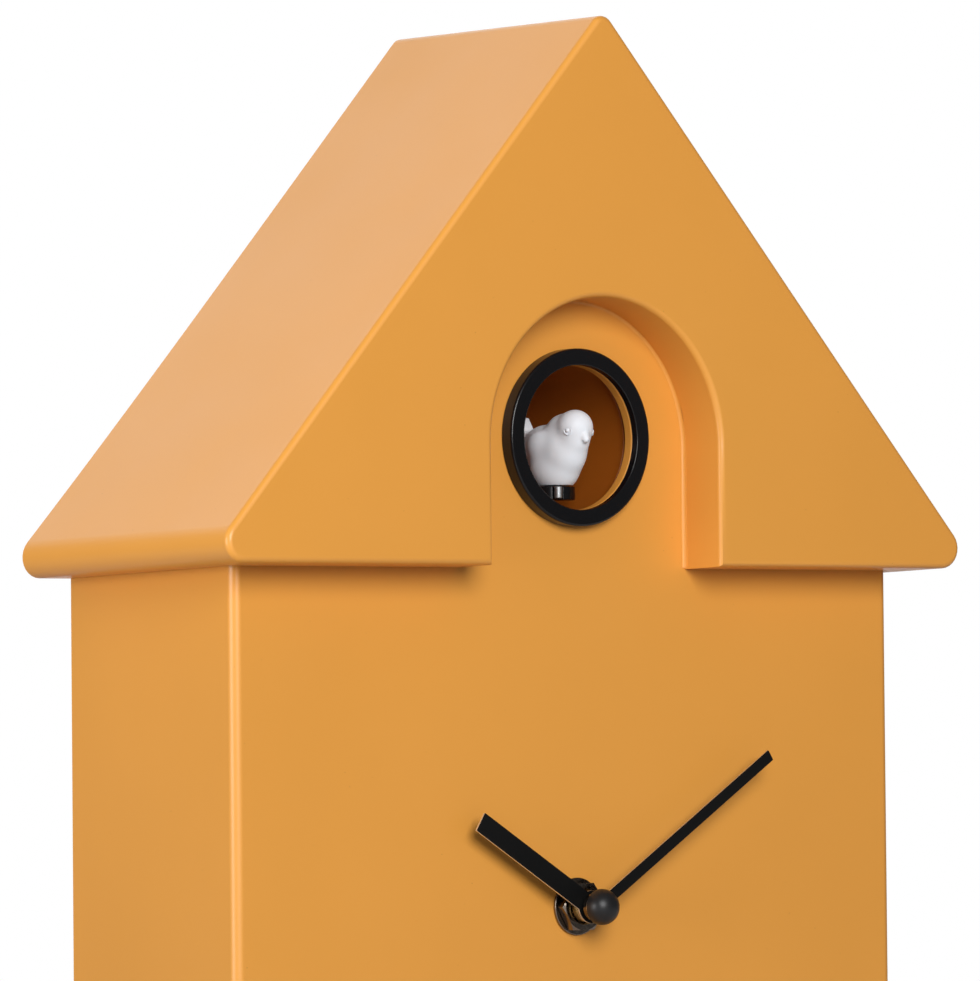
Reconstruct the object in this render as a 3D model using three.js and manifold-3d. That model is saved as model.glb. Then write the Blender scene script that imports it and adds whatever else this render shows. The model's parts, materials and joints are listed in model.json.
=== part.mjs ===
// A house-shaped cuckoo clock: a gabled roof shell over a box body, a bird that slides out of a
// round window, and a quartz movement with two bar hands.
// Millimetres, +Z up. The origin is at the middle of the base, X across the front and +Y into the clock.
import * as THREE from "three";
import { mergeVertices } from "three/addons/utils/BufferGeometryUtils.js";
import Module from "manifold-3d";

const wasm = await Module();
wasm.setup();

// Driving dimensions of the case.
const bodyWidth = 217;
const bodyHeight = 175;
const bodyDepth = 70.3;
const fasciaDepth = 15.2; // how far the gable stands in front of the body's front panel
const padHeight = 1.2;
const wall = 2.5;
const gap = 0.3; // clearance between pieces that touch
const bodyEdge = 2.6; // rounding of the upright front edges
const roofHalf = 127.7; // half width of the roof where the slopes would meet the eaves
const roofRise = 143.3; // height of the sharp ridge above the eaves
const eaveRound = 5.4;
const ridgeRound = 3.65;
const ridgeLift = 0.8; // the roof opens out towards the back: there its ridge is this much higher,
const eaveDrop = 2.1; // its eaves are this much lower,
const roofSpread = 0.004; // and its half width is larger by this share,
const eaveSpread = 0.018; // by this share more at the eaves, fading up the slopes
const roofEdge = 1.6; // rounding of the gable's front edge
const archHalf = 37.7;
const archCentre = 31.3; // centre of the arch above the eaves

// Driving dimensions of the window and the bird.
const windowRise = 33.3; // centre of the window above the eaves
const ringOuter = 22.5;
const ringInner = 18.7;
const ringProud = 4.2;
const tubeInner = 19.9;
const tubeDepth = 46;
const railReach = 11; // half the distance between the two rails

// Driving dimensions of the hands and the movement.
const axisDrop = 87.5; // hands' axis below the eaves
const hourLength = 42.5;
const hourWidth = 5.3;
const hourAngle = -58.1; // degrees clockwise from twelve
const minuteLength = 69.9;
const minuteWidth = 3.1;
const minuteAngle = 56.7;
const handThick = 0.6;
const movementSide = 56;
const movementDepth = 17;
const cellRadius = 7.1;
const cellLength = 50;

// Places worked out from them.
const frontY = -(bodyDepth + fasciaDepth) / 2;
const panelY = frontY + fasciaDepth;
const backY = -frontY;
const eavesZ = padHeight + bodyHeight;
const windowZ = eavesZ + windowRise;
const axisZ = eavesZ - axisDrop;
const innerY = panelY + wall; // inside face of the front panel
const backInnerY = backY - wall;
const bodyHalf = bodyWidth / 2;
const slope = Math.atan2(roofRise, roofHalf);
const degree = Math.PI / 180;

// ---------------------------------------------------------------- solids and booleans

// A closed geometry as a solid for cutting and joining.
function solid(geometry) {
  const bare = geometry.index ? geometry.toNonIndexed() : geometry.clone();
  bare.deleteAttribute("normal");
  bare.deleteAttribute("uv");
  const merged = mergeVertices(bare, 1e-4);
  return new wasm.Manifold(
    new wasm.Mesh({
      numProp: 3,
      vertProperties: merged.attributes.position.array,
      triVerts: new Uint32Array(merged.index.array),
    }),
  );
}

function join(...solids) {
  return solids.reduce((all, next) => all.add(next));
}

function cut(base, ...tools) {
  return tools.reduce((left, tool) => left.subtract(tool), base);
}

function geometryOf(made) {
  const mesh = made.getMesh();
  const geometry = new THREE.BufferGeometry();
  geometry.setAttribute("position", new THREE.BufferAttribute(mesh.vertProperties, 3));
  geometry.setIndex(new THREE.BufferAttribute(mesh.triVerts, 1));
  geometry.computeVertexNormals();
  return geometry;
}

function box(x0, x1, y0, y1, z0, z1) {
  const geometry = new THREE.BoxGeometry(x1 - x0, y1 - y0, z1 - z0);
  return solid(geometry.translate((x0 + x1) / 2, (y0 + y1) / 2, (z0 + z1) / 2));
}

// Round bars along each axis.
function rodY(radius, y0, y1, x, z, sides = 16) {
  const geometry = new THREE.CylinderGeometry(radius, radius, y1 - y0, sides);
  return solid(geometry.translate(x, (y0 + y1) / 2, z));
}

function rodX(radius, x0, x1, y, z, sides = 16) {
  const geometry = new THREE.CylinderGeometry(radius, radius, x1 - x0, sides);
  return solid(geometry.rotateZ(Math.PI / 2).translate((x0 + x1) / 2, y, z));
}

function rodZ(radius, z0, z1, x, y, sides = 16) {
  const geometry = new THREE.CylinderGeometry(radius, radius, z1 - z0, sides);
  return solid(geometry.rotateX(Math.PI / 2).translate(x, y, (z0 + z1) / 2));
}

// A closed profile of [radius, y] turned round an axis along Y.
function turned(profile, x, z, sides = 32) {
  const points = profile.map(([radius, y]) => new THREE.Vector2(radius, y));
  if (THREE.ShapeUtils.area(points) < 0) points.reverse();
  return solid(new THREE.LatheGeometry(points, sides).translate(x, 0, z));
}

function outline(points) {
  return new THREE.Shape(points.map(([a, b]) => new THREE.Vector2(a, b)));
}

// An outline in x and z, drawn out along y.
function drawnY(shape, y0, y1) {
  const geometry = new THREE.ExtrudeGeometry(shape, { depth: y1 - y0, bevelEnabled: false });
  return geometry.rotateX(Math.PI / 2).translate(0, y1, 0);
}

function prismY(shape, y0, y1) {
  return solid(drawnY(shape, y0, y1));
}

// An outline in y and z, drawn out along x.
function prismX(shape, x0, x1) {
  const geometry = new THREE.ExtrudeGeometry(shape, { depth: x1 - x0, bevelEnabled: false });
  const turn = new THREE.Matrix4().makeBasis(
    new THREE.Vector3(0, 1, 0),
    new THREE.Vector3(0, 0, 1),
    new THREE.Vector3(1, 0, 0),
  );
  return solid(geometry.applyMatrix4(turn).translate(x0, 0, 0));
}

// An outline in x and y, drawn out along z.
function prismZ(shape, z0, z1) {
  const geometry = new THREE.ExtrudeGeometry(shape, { depth: z1 - z0, bevelEnabled: false });
  return solid(geometry.translate(0, 0, z0));
}

function ball(rx, ry, rz, x, y, z, around = 16, down = 12) {
  const geometry = new THREE.SphereGeometry(1, around, down);
  return solid(geometry.rotateX(Math.PI / 2).scale(rx, ry, rz).translate(x, y, z));
}

// Points of a polygon whose corners are rounded, each corner as [x, y, radius].
function roundedCorners(corners, steps = 5) {
  const points = [];
  corners.forEach(([x, y, radius], i) => {
    if (!radius) {
      points.push([x, y]);
      return;
    }
    const here = new THREE.Vector2(x, y);
    const [px, py] = corners[(i + corners.length - 1) % corners.length];
    const [nx, ny] = corners[(i + 1) % corners.length];
    const back = new THREE.Vector2(px, py).sub(here).normalize();
    const ahead = new THREE.Vector2(nx, ny).sub(here).normalize();
    const halfAngle = Math.acos(THREE.MathUtils.clamp(back.dot(ahead), -1, 1)) / 2;
    const middle = back.clone().add(ahead).normalize().multiplyScalar(radius / Math.sin(halfAngle));
    const centre = here.clone().add(middle);
    const reach = radius / Math.tan(halfAngle);
    const first = here.clone().addScaledVector(back, reach).sub(centre).angle();
    const last = here.clone().addScaledVector(ahead, reach).sub(centre).angle();
    const sweep = Math.atan2(Math.sin(last - first), Math.cos(last - first));
    for (let k = 0; k <= steps; k++) {
      const angle = first + (sweep * k) / steps;
      points.push([centre.x + radius * Math.cos(angle), centre.y + radius * Math.sin(angle)]);
    }
  });
  return points;
}

// ---------------------------------------------------------------- gear teeth

// A spur gear's outline about the origin, with a tooth centred at the angle phase.
// Flanks are straight on large wheels and bent at the pitch circle on small pinions.
function gearOutline(teeth, module, phase) {
  const pitchRadius = (teeth * module) / 2;
  const root = pitchRadius - 1.2 * module;
  const tip = pitchRadius + 0.85 * module;
  const halfPitch = (0.415 * Math.PI * module) / 2; // half a tooth, with room for backlash
  const small = teeth <= 12;
  const marks = small
    ? [
        [root, halfPitch * 0.9],
        [pitchRadius, halfPitch],
        [tip, halfPitch * 0.42],
      ]
    : [
        [root, halfPitch * 1.45],
        [tip, halfPitch * 0.52],
      ];
  const points = [];
  for (let i = 0; i < teeth; i++) {
    const middle = phase + (i * 2 * Math.PI) / teeth;
    const rising = marks.map(([r, w]) => [r, -w / r]);
    const falling = marks.toReversed().map(([r, w]) => [r, w / r]);
    const sides = [...rising, ...falling];
    for (const [r, a] of sides) points.push([r * Math.cos(middle + a), r * Math.sin(middle + a)]);
  }
  return points;
}

// The phase of a second gear in mesh with a first one. The direction from the first to the second is toward.
function meshPhase(firstTeeth, firstPhase, secondTeeth, toward) {
  const lead = firstPhase - toward;
  return toward + Math.PI - (lead * firstTeeth) / secondTeeth + Math.PI / secondTeeth;
}

function gearY(teeth, module, phase, x, z, y0, y1) {
  const points = gearOutline(teeth, module, phase).map(([a, b]) => [a + x, b + z]);
  return prismY(outline(points), y0, y1);
}

function gearX(teeth, module, phase, y, z, x0, x1) {
  const points = gearOutline(teeth, module, phase).map(([a, b]) => [a + y, b + z]);
  return prismX(outline(points), x0, x1);
}

// ---------------------------------------------------------------- case

const archPoints = (half, foot, steps = 20) => {
  const centre = eavesZ + archCentre;
  const curve = [];
  for (let i = 0; i <= steps; i++) {
    const angle = Math.PI - (Math.PI * i) / steps;
    curve.push([half * Math.cos(angle), centre + half * Math.sin(angle)]);
  }
  return [[-half, foot], ...curve, [half, foot]];
};

// The gable's outline, drawn in by inset on every side, with its slopes divided so that they can curve.
function gableOutline(inset) {
  const half = roofHalf - inset / Math.tan(slope / 2);
  const ridge = roofRise - inset / Math.cos(slope);
  const foot = eavesZ + inset;
  const low = Math.max(eaveRound - inset, 0.4);
  const high = Math.max(ridgeRound - inset, 0.4);
  const points = roundedCorners([
    [half, foot, low],
    [0, eavesZ + ridge, high],
    [-half, foot, low],
  ]);
  return points.flatMap((here, i) => divided(here, points[(i + 1) % points.length], 8));
}

// A point and, where the next one is far away and higher or lower, the points that divide the way to it.
function divided(here, next, count) {
  if (Math.abs(next[1] - here[1]) < 50) return [here];
  return Array.from({ length: count }, (_, i) =>
    here.map((value, axis) => value + ((next[axis] - value) * i) / count),
  );
}

// Moves a roof geometry's points outwards, more so towards the back.
function flared(geometry) {
  const position = geometry.getAttribute("position");
  for (let i = 0; i < position.count; i++) {
    const along = (position.getY(i) - frontY) / (backY - frontY);
    const up = (position.getZ(i) - eavesZ) / roofRise;
    const spread = roofSpread + eaveSpread * (1 - up) ** 3;
    position.setX(i, position.getX(i) * (1 + spread * along));
    position.setZ(i, position.getZ(i) + along * (ridgeLift * up - eaveDrop * (1 - up)));
  }
  return geometry;
}

// Screw places, shared by the bosses, the back panel and the screws: [x, z].
const screwX = bodyHalf - 6.3;
const bodyScrews = [
  [-screwX, 13.5],
  [screwX, 13.5],
  [-screwX, 166],
  [screwX, 166],
];
const roofScrews = [
  [-65.5, eavesZ + 60],
  [65.5, eavesZ + 60],
];
const frameScrews = [
  [-14, eavesZ - 18],
  [21, eavesZ - 18],
];
const bossRadius = 4.2;
const screwHole = 1.9;
const bossFrontY = backInnerY - 16;

function roofShell() {
  const shape = outline([...gableOutline(0), ...archPoints(archHalf, eavesZ)]);
  const slab = new THREE.ExtrudeGeometry(shape, {
    depth: 2 * backY,
    bevelEnabled: true,
    bevelThickness: roofEdge,
    bevelSize: roofEdge,
    bevelOffset: -roofEdge,
    bevelSegments: 3,
  });
  // The slab runs past the back by its rear bevel, which is then cut off square.
  const outer = solid(flared(slab.rotateX(Math.PI / 2).translate(0, backY + roofEdge, 0)));
  const inner = outline(gableOutline(wall));
  const jamb = prismY(outline(archPoints(archHalf + wall, eavesZ - 1)), frontY - 1, panelY - gap);
  const hollow = cut(solid(flared(drawnY(inner, frontY + wall, backY + 5))), jamb);
  const half = bodyHalf + gap;
  const pocket = box(-half, half, panelY - gap, backY + 5, eavesZ - 2 * eaveDrop, eavesZ + wall + 1);
  const bosses = roofScrews.map(([x, z]) => rodY(bossRadius, bossFrontY, backInnerY - gap, x, z, 10));
  const holes = roofScrews.map(([x, z]) => rodY(screwHole, bossFrontY - 1, backY, x, z, 8));
  const trimmed = cut(outer, box(-200, 200, backY, backY + 10, 0, 400), hollow, pocket);
  return cut(join(trimmed, ...bosses), ...holes);
}

function bodyPlan(inset, reach) {
  const half = bodyHalf - inset;
  const front = panelY + inset;
  const round = Math.max(bodyEdge - inset, 0.4);
  return outline(
    roundedCorners(
      [
        [-half, front, round],
        [half, front, round],
        [half, reach, 0],
        [-half, reach, 0],
      ],
      4,
    ),
  );
}

const collarOuter = ringInner + 1.5;
const collarProud = 1.9;
const tongueHalf = 44;
const bodyTop = eavesZ + 2.2; // the body's walls reach up into the roof

function bodyShell() {
  const outer = prismZ(bodyPlan(0, backY), padHeight, bodyTop);
  const inner = prismZ(bodyPlan(wall, backY + 5), padHeight + wall, bodyTop + 5);
  const tongue = prismY(outline(archPoints(tongueHalf, eavesZ - 10)), panelY, innerY);
  const collar = rodY(collarOuter, panelY - collarProud, panelY + 1, 0, windowZ, 32);
  const bosses = bodyScrews.map(([x, z]) => rodY(bossRadius, bossFrontY, backInnerY - gap, x, z, 10));
  const posts = frameScrews.map(([x, z]) => rodY(3.4, innerY - 0.5, innerY + 3.5, x, z, 12));
  const holes = [
    rodY(ringInner, panelY - 5, innerY + 1, 0, windowZ, 32),
    rodY(collarOuter, panelY + 0.8, innerY + 1, 0, windowZ, 32),
    rodY(4.5, panelY - 5, innerY + 1, 0, axisZ, 16),
    ...bodyScrews.map(([x, z]) => rodY(screwHole, bossFrontY - 1, backY, x, z, 8)),
    ...frameScrews.map(([x, z]) => rodY(1.5, innerY + 0.5, innerY + 5, x, z, 8)),
  ];
  return cut(join(cut(outer, inner), tongue, collar, ...bosses, ...posts), ...holes);
}

// The service opening in the back panel and the door that fills it.
const serviceOpening = { left: -44, right: 42, low: 14, high: 132 };
const hingeRadius = 2.2;
const hingeY = backY - hingeRadius;
const hingeX = serviceOpening.left + hingeRadius + 0.6;
const doorThick = 2.3;
const speakerZ = windowZ + 12;
const switchPlace = { x: -72, z: 108 };
const knobPlace = { x: -72, z: 84 };
const hangerZ = eavesZ + 98;

function backPanel() {
  const half = bodyHalf - wall - gap;
  const bodySpace = bodyHalf + gap;
  const gable = outline(gableOutline(wall + gap));
  const upper = cut(
    solid(flared(drawnY(gable, backInnerY, backY))),
    box(-bodySpace, bodySpace, backInnerY - 1, backY + 1, eavesZ - 5, bodyTop + gap),
  );
  const plate = join(upper, box(-half, half, backInnerY, backY, padHeight + wall + gap, eavesZ + 14));
  const { left, right, low, high } = serviceOpening;
  const lugs = [
    box(left, left + 8, hingeY - 3.4, backY, high, high + 5),
    box(left, left + 8, hingeY - 3.4, backY, low - 5, low),
  ];
  const screws = [...bodyScrews, ...roofScrews];
  const cups = screws.map(([x, z]) => rodY(3.7, backY - 1.6, backY + 1, x, z, 10));
  const screwHoles = screws.map(([x, z]) => rodY(1.7, backInnerY - 1, backY, x, z, 8));
  const grille = [-2, -1, 0, 1, 2].map((i) => {
    const reach = 17 - 2.2 * i * i;
    return box(-reach, reach, backInnerY - 1, backY + 1, speakerZ + 6 * i - 1.2, speakerZ + 6 * i + 1.2);
  });
  const standoffs = [
    [-94, 124],
    [-54, 124],
    [-94, 66],
    [-54, 66],
  ].map(([x, z]) => rodY(2.6, 33, backInnerY + 0.5, x, z, 8));
  const slit = { x: 7, z: 2.6 }; // half the opening for the switch
  const { x, z } = switchPlace;
  return cut(
    join(plate, ...lugs, ...standoffs),
    box(left, right, backInnerY - 10, backY + 1, low, high),
    rodZ(1.1, low - 4, high + 4, hingeX, hingeY, 12),
    ...cups,
    ...screwHoles,
    ...grille,
    box(-9, 9, backInnerY - 1, backY + 1, hangerZ - 13, hangerZ + 11),
    box(x - slit.x, x + slit.x, backInnerY - 1, backY + 1, z - slit.z, z + slit.z),
    rodY(8, backInnerY - 1, backY + 1, knobPlace.x, knobPlace.z, 16),
  );
}

function serviceDoor() {
  const { right, low, high } = serviceOpening;
  const z0 = low + 0.4;
  const z1 = high - 0.4;
  const leaf = box(hingeX, right - 0.4, backY - doorThick, backY, z0, z1);
  const barrel = rodZ(hingeRadius, z0, z1, hingeX, hingeY, 16);
  const grip = box(right - 13, right - 5, backY - 1, backY + 1, axisZ - 16, axisZ + 16);
  return cut(join(leaf, barrel), rodZ(1.1, z0 - 1, z1 + 1, hingeX, hingeY, 12), grip);
}

function doorPin() {
  return rodZ(0.8, serviceOpening.low - 3.6, serviceOpening.high + 3.6, hingeX, hingeY, 8);
}

function hangerPlate() {
  const y0 = backInnerY - gap - 1.2;
  const y1 = backInnerY - gap;
  const plate = box(-15, 15, y0, y1, hangerZ - 17, hangerZ + 15);
  const slot = join(
    rodY(5, y0 - 1, y1 + 1, 0, hangerZ - 6, 16),
    rodY(2.4, y0 - 1, y1 + 1, 0, hangerZ + 6, 12),
    box(-2.4, 2.4, y0 - 1, y1 + 1, hangerZ - 6, hangerZ + 6),
  );
  return cut(plate, slot);
}

// A pan-head screw along y whose head faces the back, with a cross recess.
function screw(x, z, headY, length, headRadius = 3.2) {
  const head = rodY(headRadius, headY - 1.3, headY, x, z, 12);
  const shank = rodY(1.3, headY - length, headY - 1, x, z, 8);
  const slot = box(x - headRadius * 0.6, x + headRadius * 0.6, headY - 0.5, headY + 1, z - 0.4, z + 0.4);
  return cut(join(head, shank), slot);
}

function basePad(side) {
  const x = side * (bodyHalf - 14);
  return box(x - 5, x + 5, panelY + 6, backY - 6, 0, padHeight - 0.02);
}

// ---------------------------------------------------------------- window and bird unit

function windowRing() {
  const face = panelY - ringProud;
  const profile = [
    [ringInner, face + 0.4],
    [ringInner + 0.4, face],
    [ringOuter - 0.6, face],
    [ringOuter, face + 0.6],
    [ringOuter, panelY - gap],
    [collarOuter + gap, panelY - gap],
    [collarOuter + gap, panelY - collarProud - gap],
    [ringInner, panelY - collarProud - gap],
  ];
  return turned([...profile, profile[0]], 0, windowZ, 40);
}

const travel = 22;
const legY = panelY + 38;
const armHalf = 2.2;
const tubeStart = innerY + 0.4;
const tubeEnd = panelY + tubeDepth;

function nestTube() {
  const outer = rodY(tubeInner + 1.5, tubeStart, tubeEnd + 1.5, 0, windowZ, 32);
  const flange = rodY(tubeInner + 4.5, tubeStart, tubeStart + 1.5, 0, windowZ, 32);
  const bore = rodY(tubeInner, tubeStart - 1, tubeEnd, 0, windowZ, 32);
  const half = armHalf + 0.8;
  const floor = windowZ - tubeInner;
  const slot = box(-half, half, legY - travel - 2, legY + 6, floor - 3, floor + 2.5);
  return cut(join(outer, flange), bore, slot);
}

const footY = panelY + 8.4;
const footTop = windowZ - 12.4;
const footBase = windowZ - 15.9;
const footRadius = 6.2;
const pinPlace = { x: -2.3, y: panelY + 2.65 };
const carriage = {
  front: panelY + 33,
  back: panelY + 49,
  low: eavesZ + 1.3,
  high: windowZ - tubeInner - 3.2,
};
const railZ = eavesZ + 5.8;
const rackPitchZ = eavesZ - 2.2;

function birdArm() {
  const foot = rodZ(footRadius, footBase, footTop, 0, footY, 24);
  const arm = box(-armHalf, armHalf, footY, legY + 4, footBase, footBase + 1.8);
  const leg = box(-armHalf, armHalf, legY, legY + 4, carriage.high - 4, footBase + 0.5);
  const groove = rodZ(1.4, footBase - 1, footTop + 1, pinPlace.x, pinPlace.y, 12);
  return cut(join(foot, arm, leg), groove);
}

function footPin() {
  return rodZ(1.1, footBase + 0.4, footTop - 0.1, pinPlace.x, pinPlace.y, 12);
}

function bird() {
  const chest = ball(6.1, 7.6, 6.8, 0, panelY + 3.7, windowZ - 3, 14, 9);
  const belly = ball(5.9, 7.6, 6.6, 0, panelY + 7.6, windowZ - 7.4, 14, 9);
  const head = ball(4.7, 4.7, 4.7, 0, panelY - 2, windowZ + 2.5, 14, 10);
  const nape = ball(4.4, 6, 4, 0, panelY + 3.4, windowZ + 1, 10, 7);
  const beak = new THREE.ConeGeometry(1.3, 4.2, 8);
  beak.rotateX(Math.PI * 0.62).translate(0, panelY - 6.4, windowZ + 0.1);
  const tail = prismX(
    outline([
      [panelY + 11, windowZ - 6],
      [panelY + 14.5, windowZ - 4],
      [panelY + 20.4, windowZ + 2.6],
      [panelY + 19.2, windowZ + 7],
      [panelY + 17.2, windowZ + 6.2],
      [panelY + 9, windowZ + 0.5],
    ]),
    -2.4,
    2.4,
  );
  const whole = join(chest, belly, head, nape, solid(beak), tail);
  return cut(whole, box(-20, 20, panelY - 20, panelY + 40, windowZ - 30, footTop + 0.3));
}

const pinionTeeth = 12;
const rackModule = 0.8;
const bigTeeth = 46;
const motorTeeth = 10;
const gearModule = 0.5;
const pinionRadius = (pinionTeeth * rackModule) / 2;
const gearPlace = { y: panelY + 34.5, z: rackPitchZ - pinionRadius };
const motorTurn = -55 * degree; // direction from the reduction gear to the motor
const motorDistance = ((bigTeeth + motorTeeth) * gearModule) / 2;
const motorPlace = {
  y: gearPlace.y + motorDistance * Math.cos(motorTurn),
  z: gearPlace.z + motorDistance * Math.sin(motorTurn),
};

// The rack's teeth point down, and a gap stands over the pinion's top tooth.
function slideCarriage() {
  const block = box(-16, 16, carriage.front, carriage.back, carriage.low, carriage.high);
  const start = panelY + 31.5;
  const end = panelY + 59.5;
  const pitch = Math.PI * rackModule;
  const root = rackPitchZ + 1.25 * rackModule;
  const tip = rackPitchZ - 0.8 * rackModule;
  const points = [
    [start, carriage.low + 0.5],
    [start, root],
  ];
  const first = Math.ceil((start - gearPlace.y) / pitch) + 0.5;
  for (let y = gearPlace.y + first * pitch; y + pitch / 2 < end; y += pitch) {
    points.push([y - pitch * 0.31, root], [y - pitch * 0.12, tip]);
    points.push([y + pitch * 0.12, tip], [y + pitch * 0.31, root]);
  }
  points.push([end, root], [end, carriage.low + 0.5]);
  const rack = prismX(outline(points), 3, 8);
  const { front, back } = carriage;
  const bores = [-railReach, railReach].map((x) => rodY(1.8, front - 1, back + 1, x, railZ, 12));
  const half = armHalf + gap;
  const socket = box(-half, half, legY - gap, legY + 4 + gap, carriage.high - 4 - gap, carriage.high + 1);
  return cut(join(block, rack), ...bores, socket);
}

const frameFrontY = innerY + 3.8;
const frameBackY = panelY + 51;
const earThick = 2.5;
const frameFloor = eavesZ - 28;

function guideRail(side) {
  return rodY(1.5, frameFrontY + 0.1, frameBackY + earThick - 0.1, side * railReach, railZ, 12);
}

function slideFrame() {
  const top = carriage.high - 0.5;
  const floor = box(-18, 26, frameFrontY, frameBackY + earThick, frameFloor, frameFloor + 2.5);
  const ears = [frameFrontY, frameBackY].map((y) => box(-18, 18, y, y + earThick, frameFloor, top));
  const flange = box(-18, 26, frameFrontY, frameFrontY + earThick, frameFloor, frameFloor + 16);
  const posts = [
    [-1.5, 1.5],
    [22, 24.5],
  ].flatMap(([x0, x1]) => [
    box(x0, x1, gearPlace.y - 4, gearPlace.y + 0.9, frameFloor, gearPlace.z),
    box(x0, x1, gearPlace.y - 4, gearPlace.y + 3.5, motorPlace.z + 6.8, gearPlace.z + 3),
  ]);
  const saddles = [
    [-10, -8],
    [8, 10],
  ].map(([x0, x1]) => box(x0, x1, motorPlace.y - 8.5, motorPlace.y + 7.5, frameFloor, motorPlace.z - 1));
  return cut(
    join(floor, ...ears, flange, ...posts, ...saddles),
    rodX(8, -11, 11, motorPlace.y, motorPlace.z, 24).intersect(
      box(-11, 11, motorPlace.y - 9, motorPlace.y + 9, motorPlace.z - 6.5, motorPlace.z + 9),
    ),
    rodX(1.3, -2, 25, gearPlace.y, gearPlace.z, 12),
    box(2, 9, frameBackY - 1, frameBackY + earThick + 1, rackPitchZ - 2.2, carriage.low + 1.2),
    ...[-railReach, railReach].map((x) => rodY(1.8, frameFrontY - 1, frameBackY + 5, x, railZ, 12)),
    ...frameScrews.map(([x, z]) => rodY(1.7, frameFrontY - 1, frameFrontY + 5, x, z, 10)),
  );
}

// The pinion turns under the rack and carries the big wheel that the motor drives.
const pinionPhase = Math.PI / 2;
const bigPhase = 0.3;

function reductionGear() {
  const pinion = gearX(pinionTeeth, rackModule, pinionPhase, gearPlace.y, gearPlace.z, 2.5, 8.5);
  const hub = rodX(3, 8, 18, gearPlace.y, gearPlace.z, 14);
  const wheel = gearX(bigTeeth, gearModule, bigPhase, gearPlace.y, gearPlace.z, 17.5, 20.5);
  return cut(join(pinion, hub, wheel), rodX(1.3, 2, 21, gearPlace.y, gearPlace.z, 12));
}

function gearAxle() {
  return rodX(1, -1.3, 24.3, gearPlace.y, gearPlace.z, 10);
}

function motorShaft() {
  const phase = meshPhase(bigTeeth, bigPhase, motorTeeth, motorTurn);
  const pinion = gearX(motorTeeth, gearModule, phase, motorPlace.y, motorPlace.z, 17, 21);
  return join(pinion, rodX(1, 6, 17.5, motorPlace.y, motorPlace.z, 10));
}

function driveMotor() {
  const { y, z } = motorPlace;
  const flats = box(-14, 13, y - 9, y + 9, z - 6.2, z + 6.2);
  const can = rodX(7.7, -13, 12, y, z, 24).intersect(flats);
  const nose = rodX(3, 12, 14, y, z, 12);
  const terminals = [-3, 3].map((dy) => box(-15.5, -12.5, y + dy - 0.9, y + dy + 0.9, z - 0.3, z + 0.3));
  return cut(join(can, nose, ...terminals), rodX(1.4, 5.5, 15, y, z, 12));
}

// ---------------------------------------------------------------- movement

const caseFront = innerY + 0.4;
const caseBack = caseFront + movementDepth;
const caseWall = 1.3;
const caseHalf = movementSide / 2;
const cellZ = axisZ + caseHalf - caseWall - cellRadius - 0.6;
const cellY = caseFront + caseWall + cellRadius + 0.4;

// Tooth counts of the train. Wheels that mesh share a module.
const hourTeeth = 40;
const minutePinionTeeth = 10;
const hourModule = 0.4;
const cannonTeeth = 12;
const minuteTeeth = 36;
const settingTeeth = 12;
const minuteModule = 0.4167;
const centreTeeth = 60;
const thirdPinionTeeth = 8;
const centreModule = 0.3;
const thirdTeeth = 64;
const secondsPinionTeeth = 8;
const thirdModule = 0.26;

// Directions from one arbor to the next.
const minuteTurn = 0;
const thirdTurn = -150 * degree;
const secondsTurn = -60 * degree;
const settingTurn = 32 * degree;

function away(place, turn, distance) {
  return { x: place.x + distance * Math.cos(turn), z: place.z + distance * Math.sin(turn) };
}

const centrePlace = { x: 0, z: axisZ };
const minutePlace = away(centrePlace, minuteTurn, ((hourTeeth + minutePinionTeeth) * hourModule) / 2);
const thirdPlace = away(centrePlace, thirdTurn, ((centreTeeth + thirdPinionTeeth) * centreModule) / 2);
const secondsPlace = away(thirdPlace, secondsTurn, ((thirdTeeth + secondsPinionTeeth) * thirdModule) / 2);
const settingPlace = away(minutePlace, settingTurn, ((minuteTeeth + settingTeeth) * minuteModule) / 2);

// How far a face of the hands or the movement lies behind the front panel; in front of it is negative.
const layer = (depth) => panelY + depth;
const rearPivot = layer(15.2); // where the arbors end
const boreOfTube = 1.75;
const tubeRadius = 2.55;
const arborRadius = 1.5;

function movementCase() {
  const room = caseHalf - caseWall;
  const shell = cut(
    box(-caseHalf, caseHalf, caseFront, caseBack - caseWall - gap, axisZ - caseHalf, axisZ + caseHalf),
    box(-room, room, caseFront + caseWall, caseBack, axisZ - room, axisZ + room),
  );
  const shelf = box(-caseHalf + 0.5, caseHalf - 0.5, caseFront + 0.5, caseBack - 4, cellZ - 9.3, cellZ - 8.3);
  return cut(
    join(shell, shelf),
    rodY(4.3, caseFront - 1, caseFront + 3, 0, axisZ, 20),
  );
}

function movementCover() {
  const y0 = caseBack - caseWall;
  const plate = box(-caseHalf, caseHalf, y0, caseBack, axisZ - caseHalf, axisZ + caseHalf);
  const reach = caseHalf - 1.8;
  const opening = box(-reach, reach, y0 - 1, caseBack + 1, cellZ - 7.2, cellZ + 7.2);
  return cut(plate, opening, rodY(2.4, y0 - 1, caseBack + 1, settingPlace.x, settingPlace.z, 14));
}

function shaftBush() {
  const flange = rodY(6.5, caseFront + caseWall + gap, caseFront + caseWall + 1.3, 0, axisZ, 24);
  const barrel = rodY(3.95, layer(-5.4), caseFront + caseWall + 1, 0, axisZ, 24);
  return cut(join(flange, barrel), rodY(tubeRadius + 0.2, layer(-6), caseFront + 5, 0, axisZ, 20));
}

const washerY = panelY - 0.2;
const washerThick = 0.8;
const nutBack = washerY - washerThick - 0.2;
const nutThick = 2.5;

function lockWasher() {
  const ring = rodY(7.42, washerY - washerThick, washerY, 0, axisZ, 32);
  return cut(ring, rodY(4.25, washerY - 2, washerY + 1, 0, axisZ, 20));
}

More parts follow.
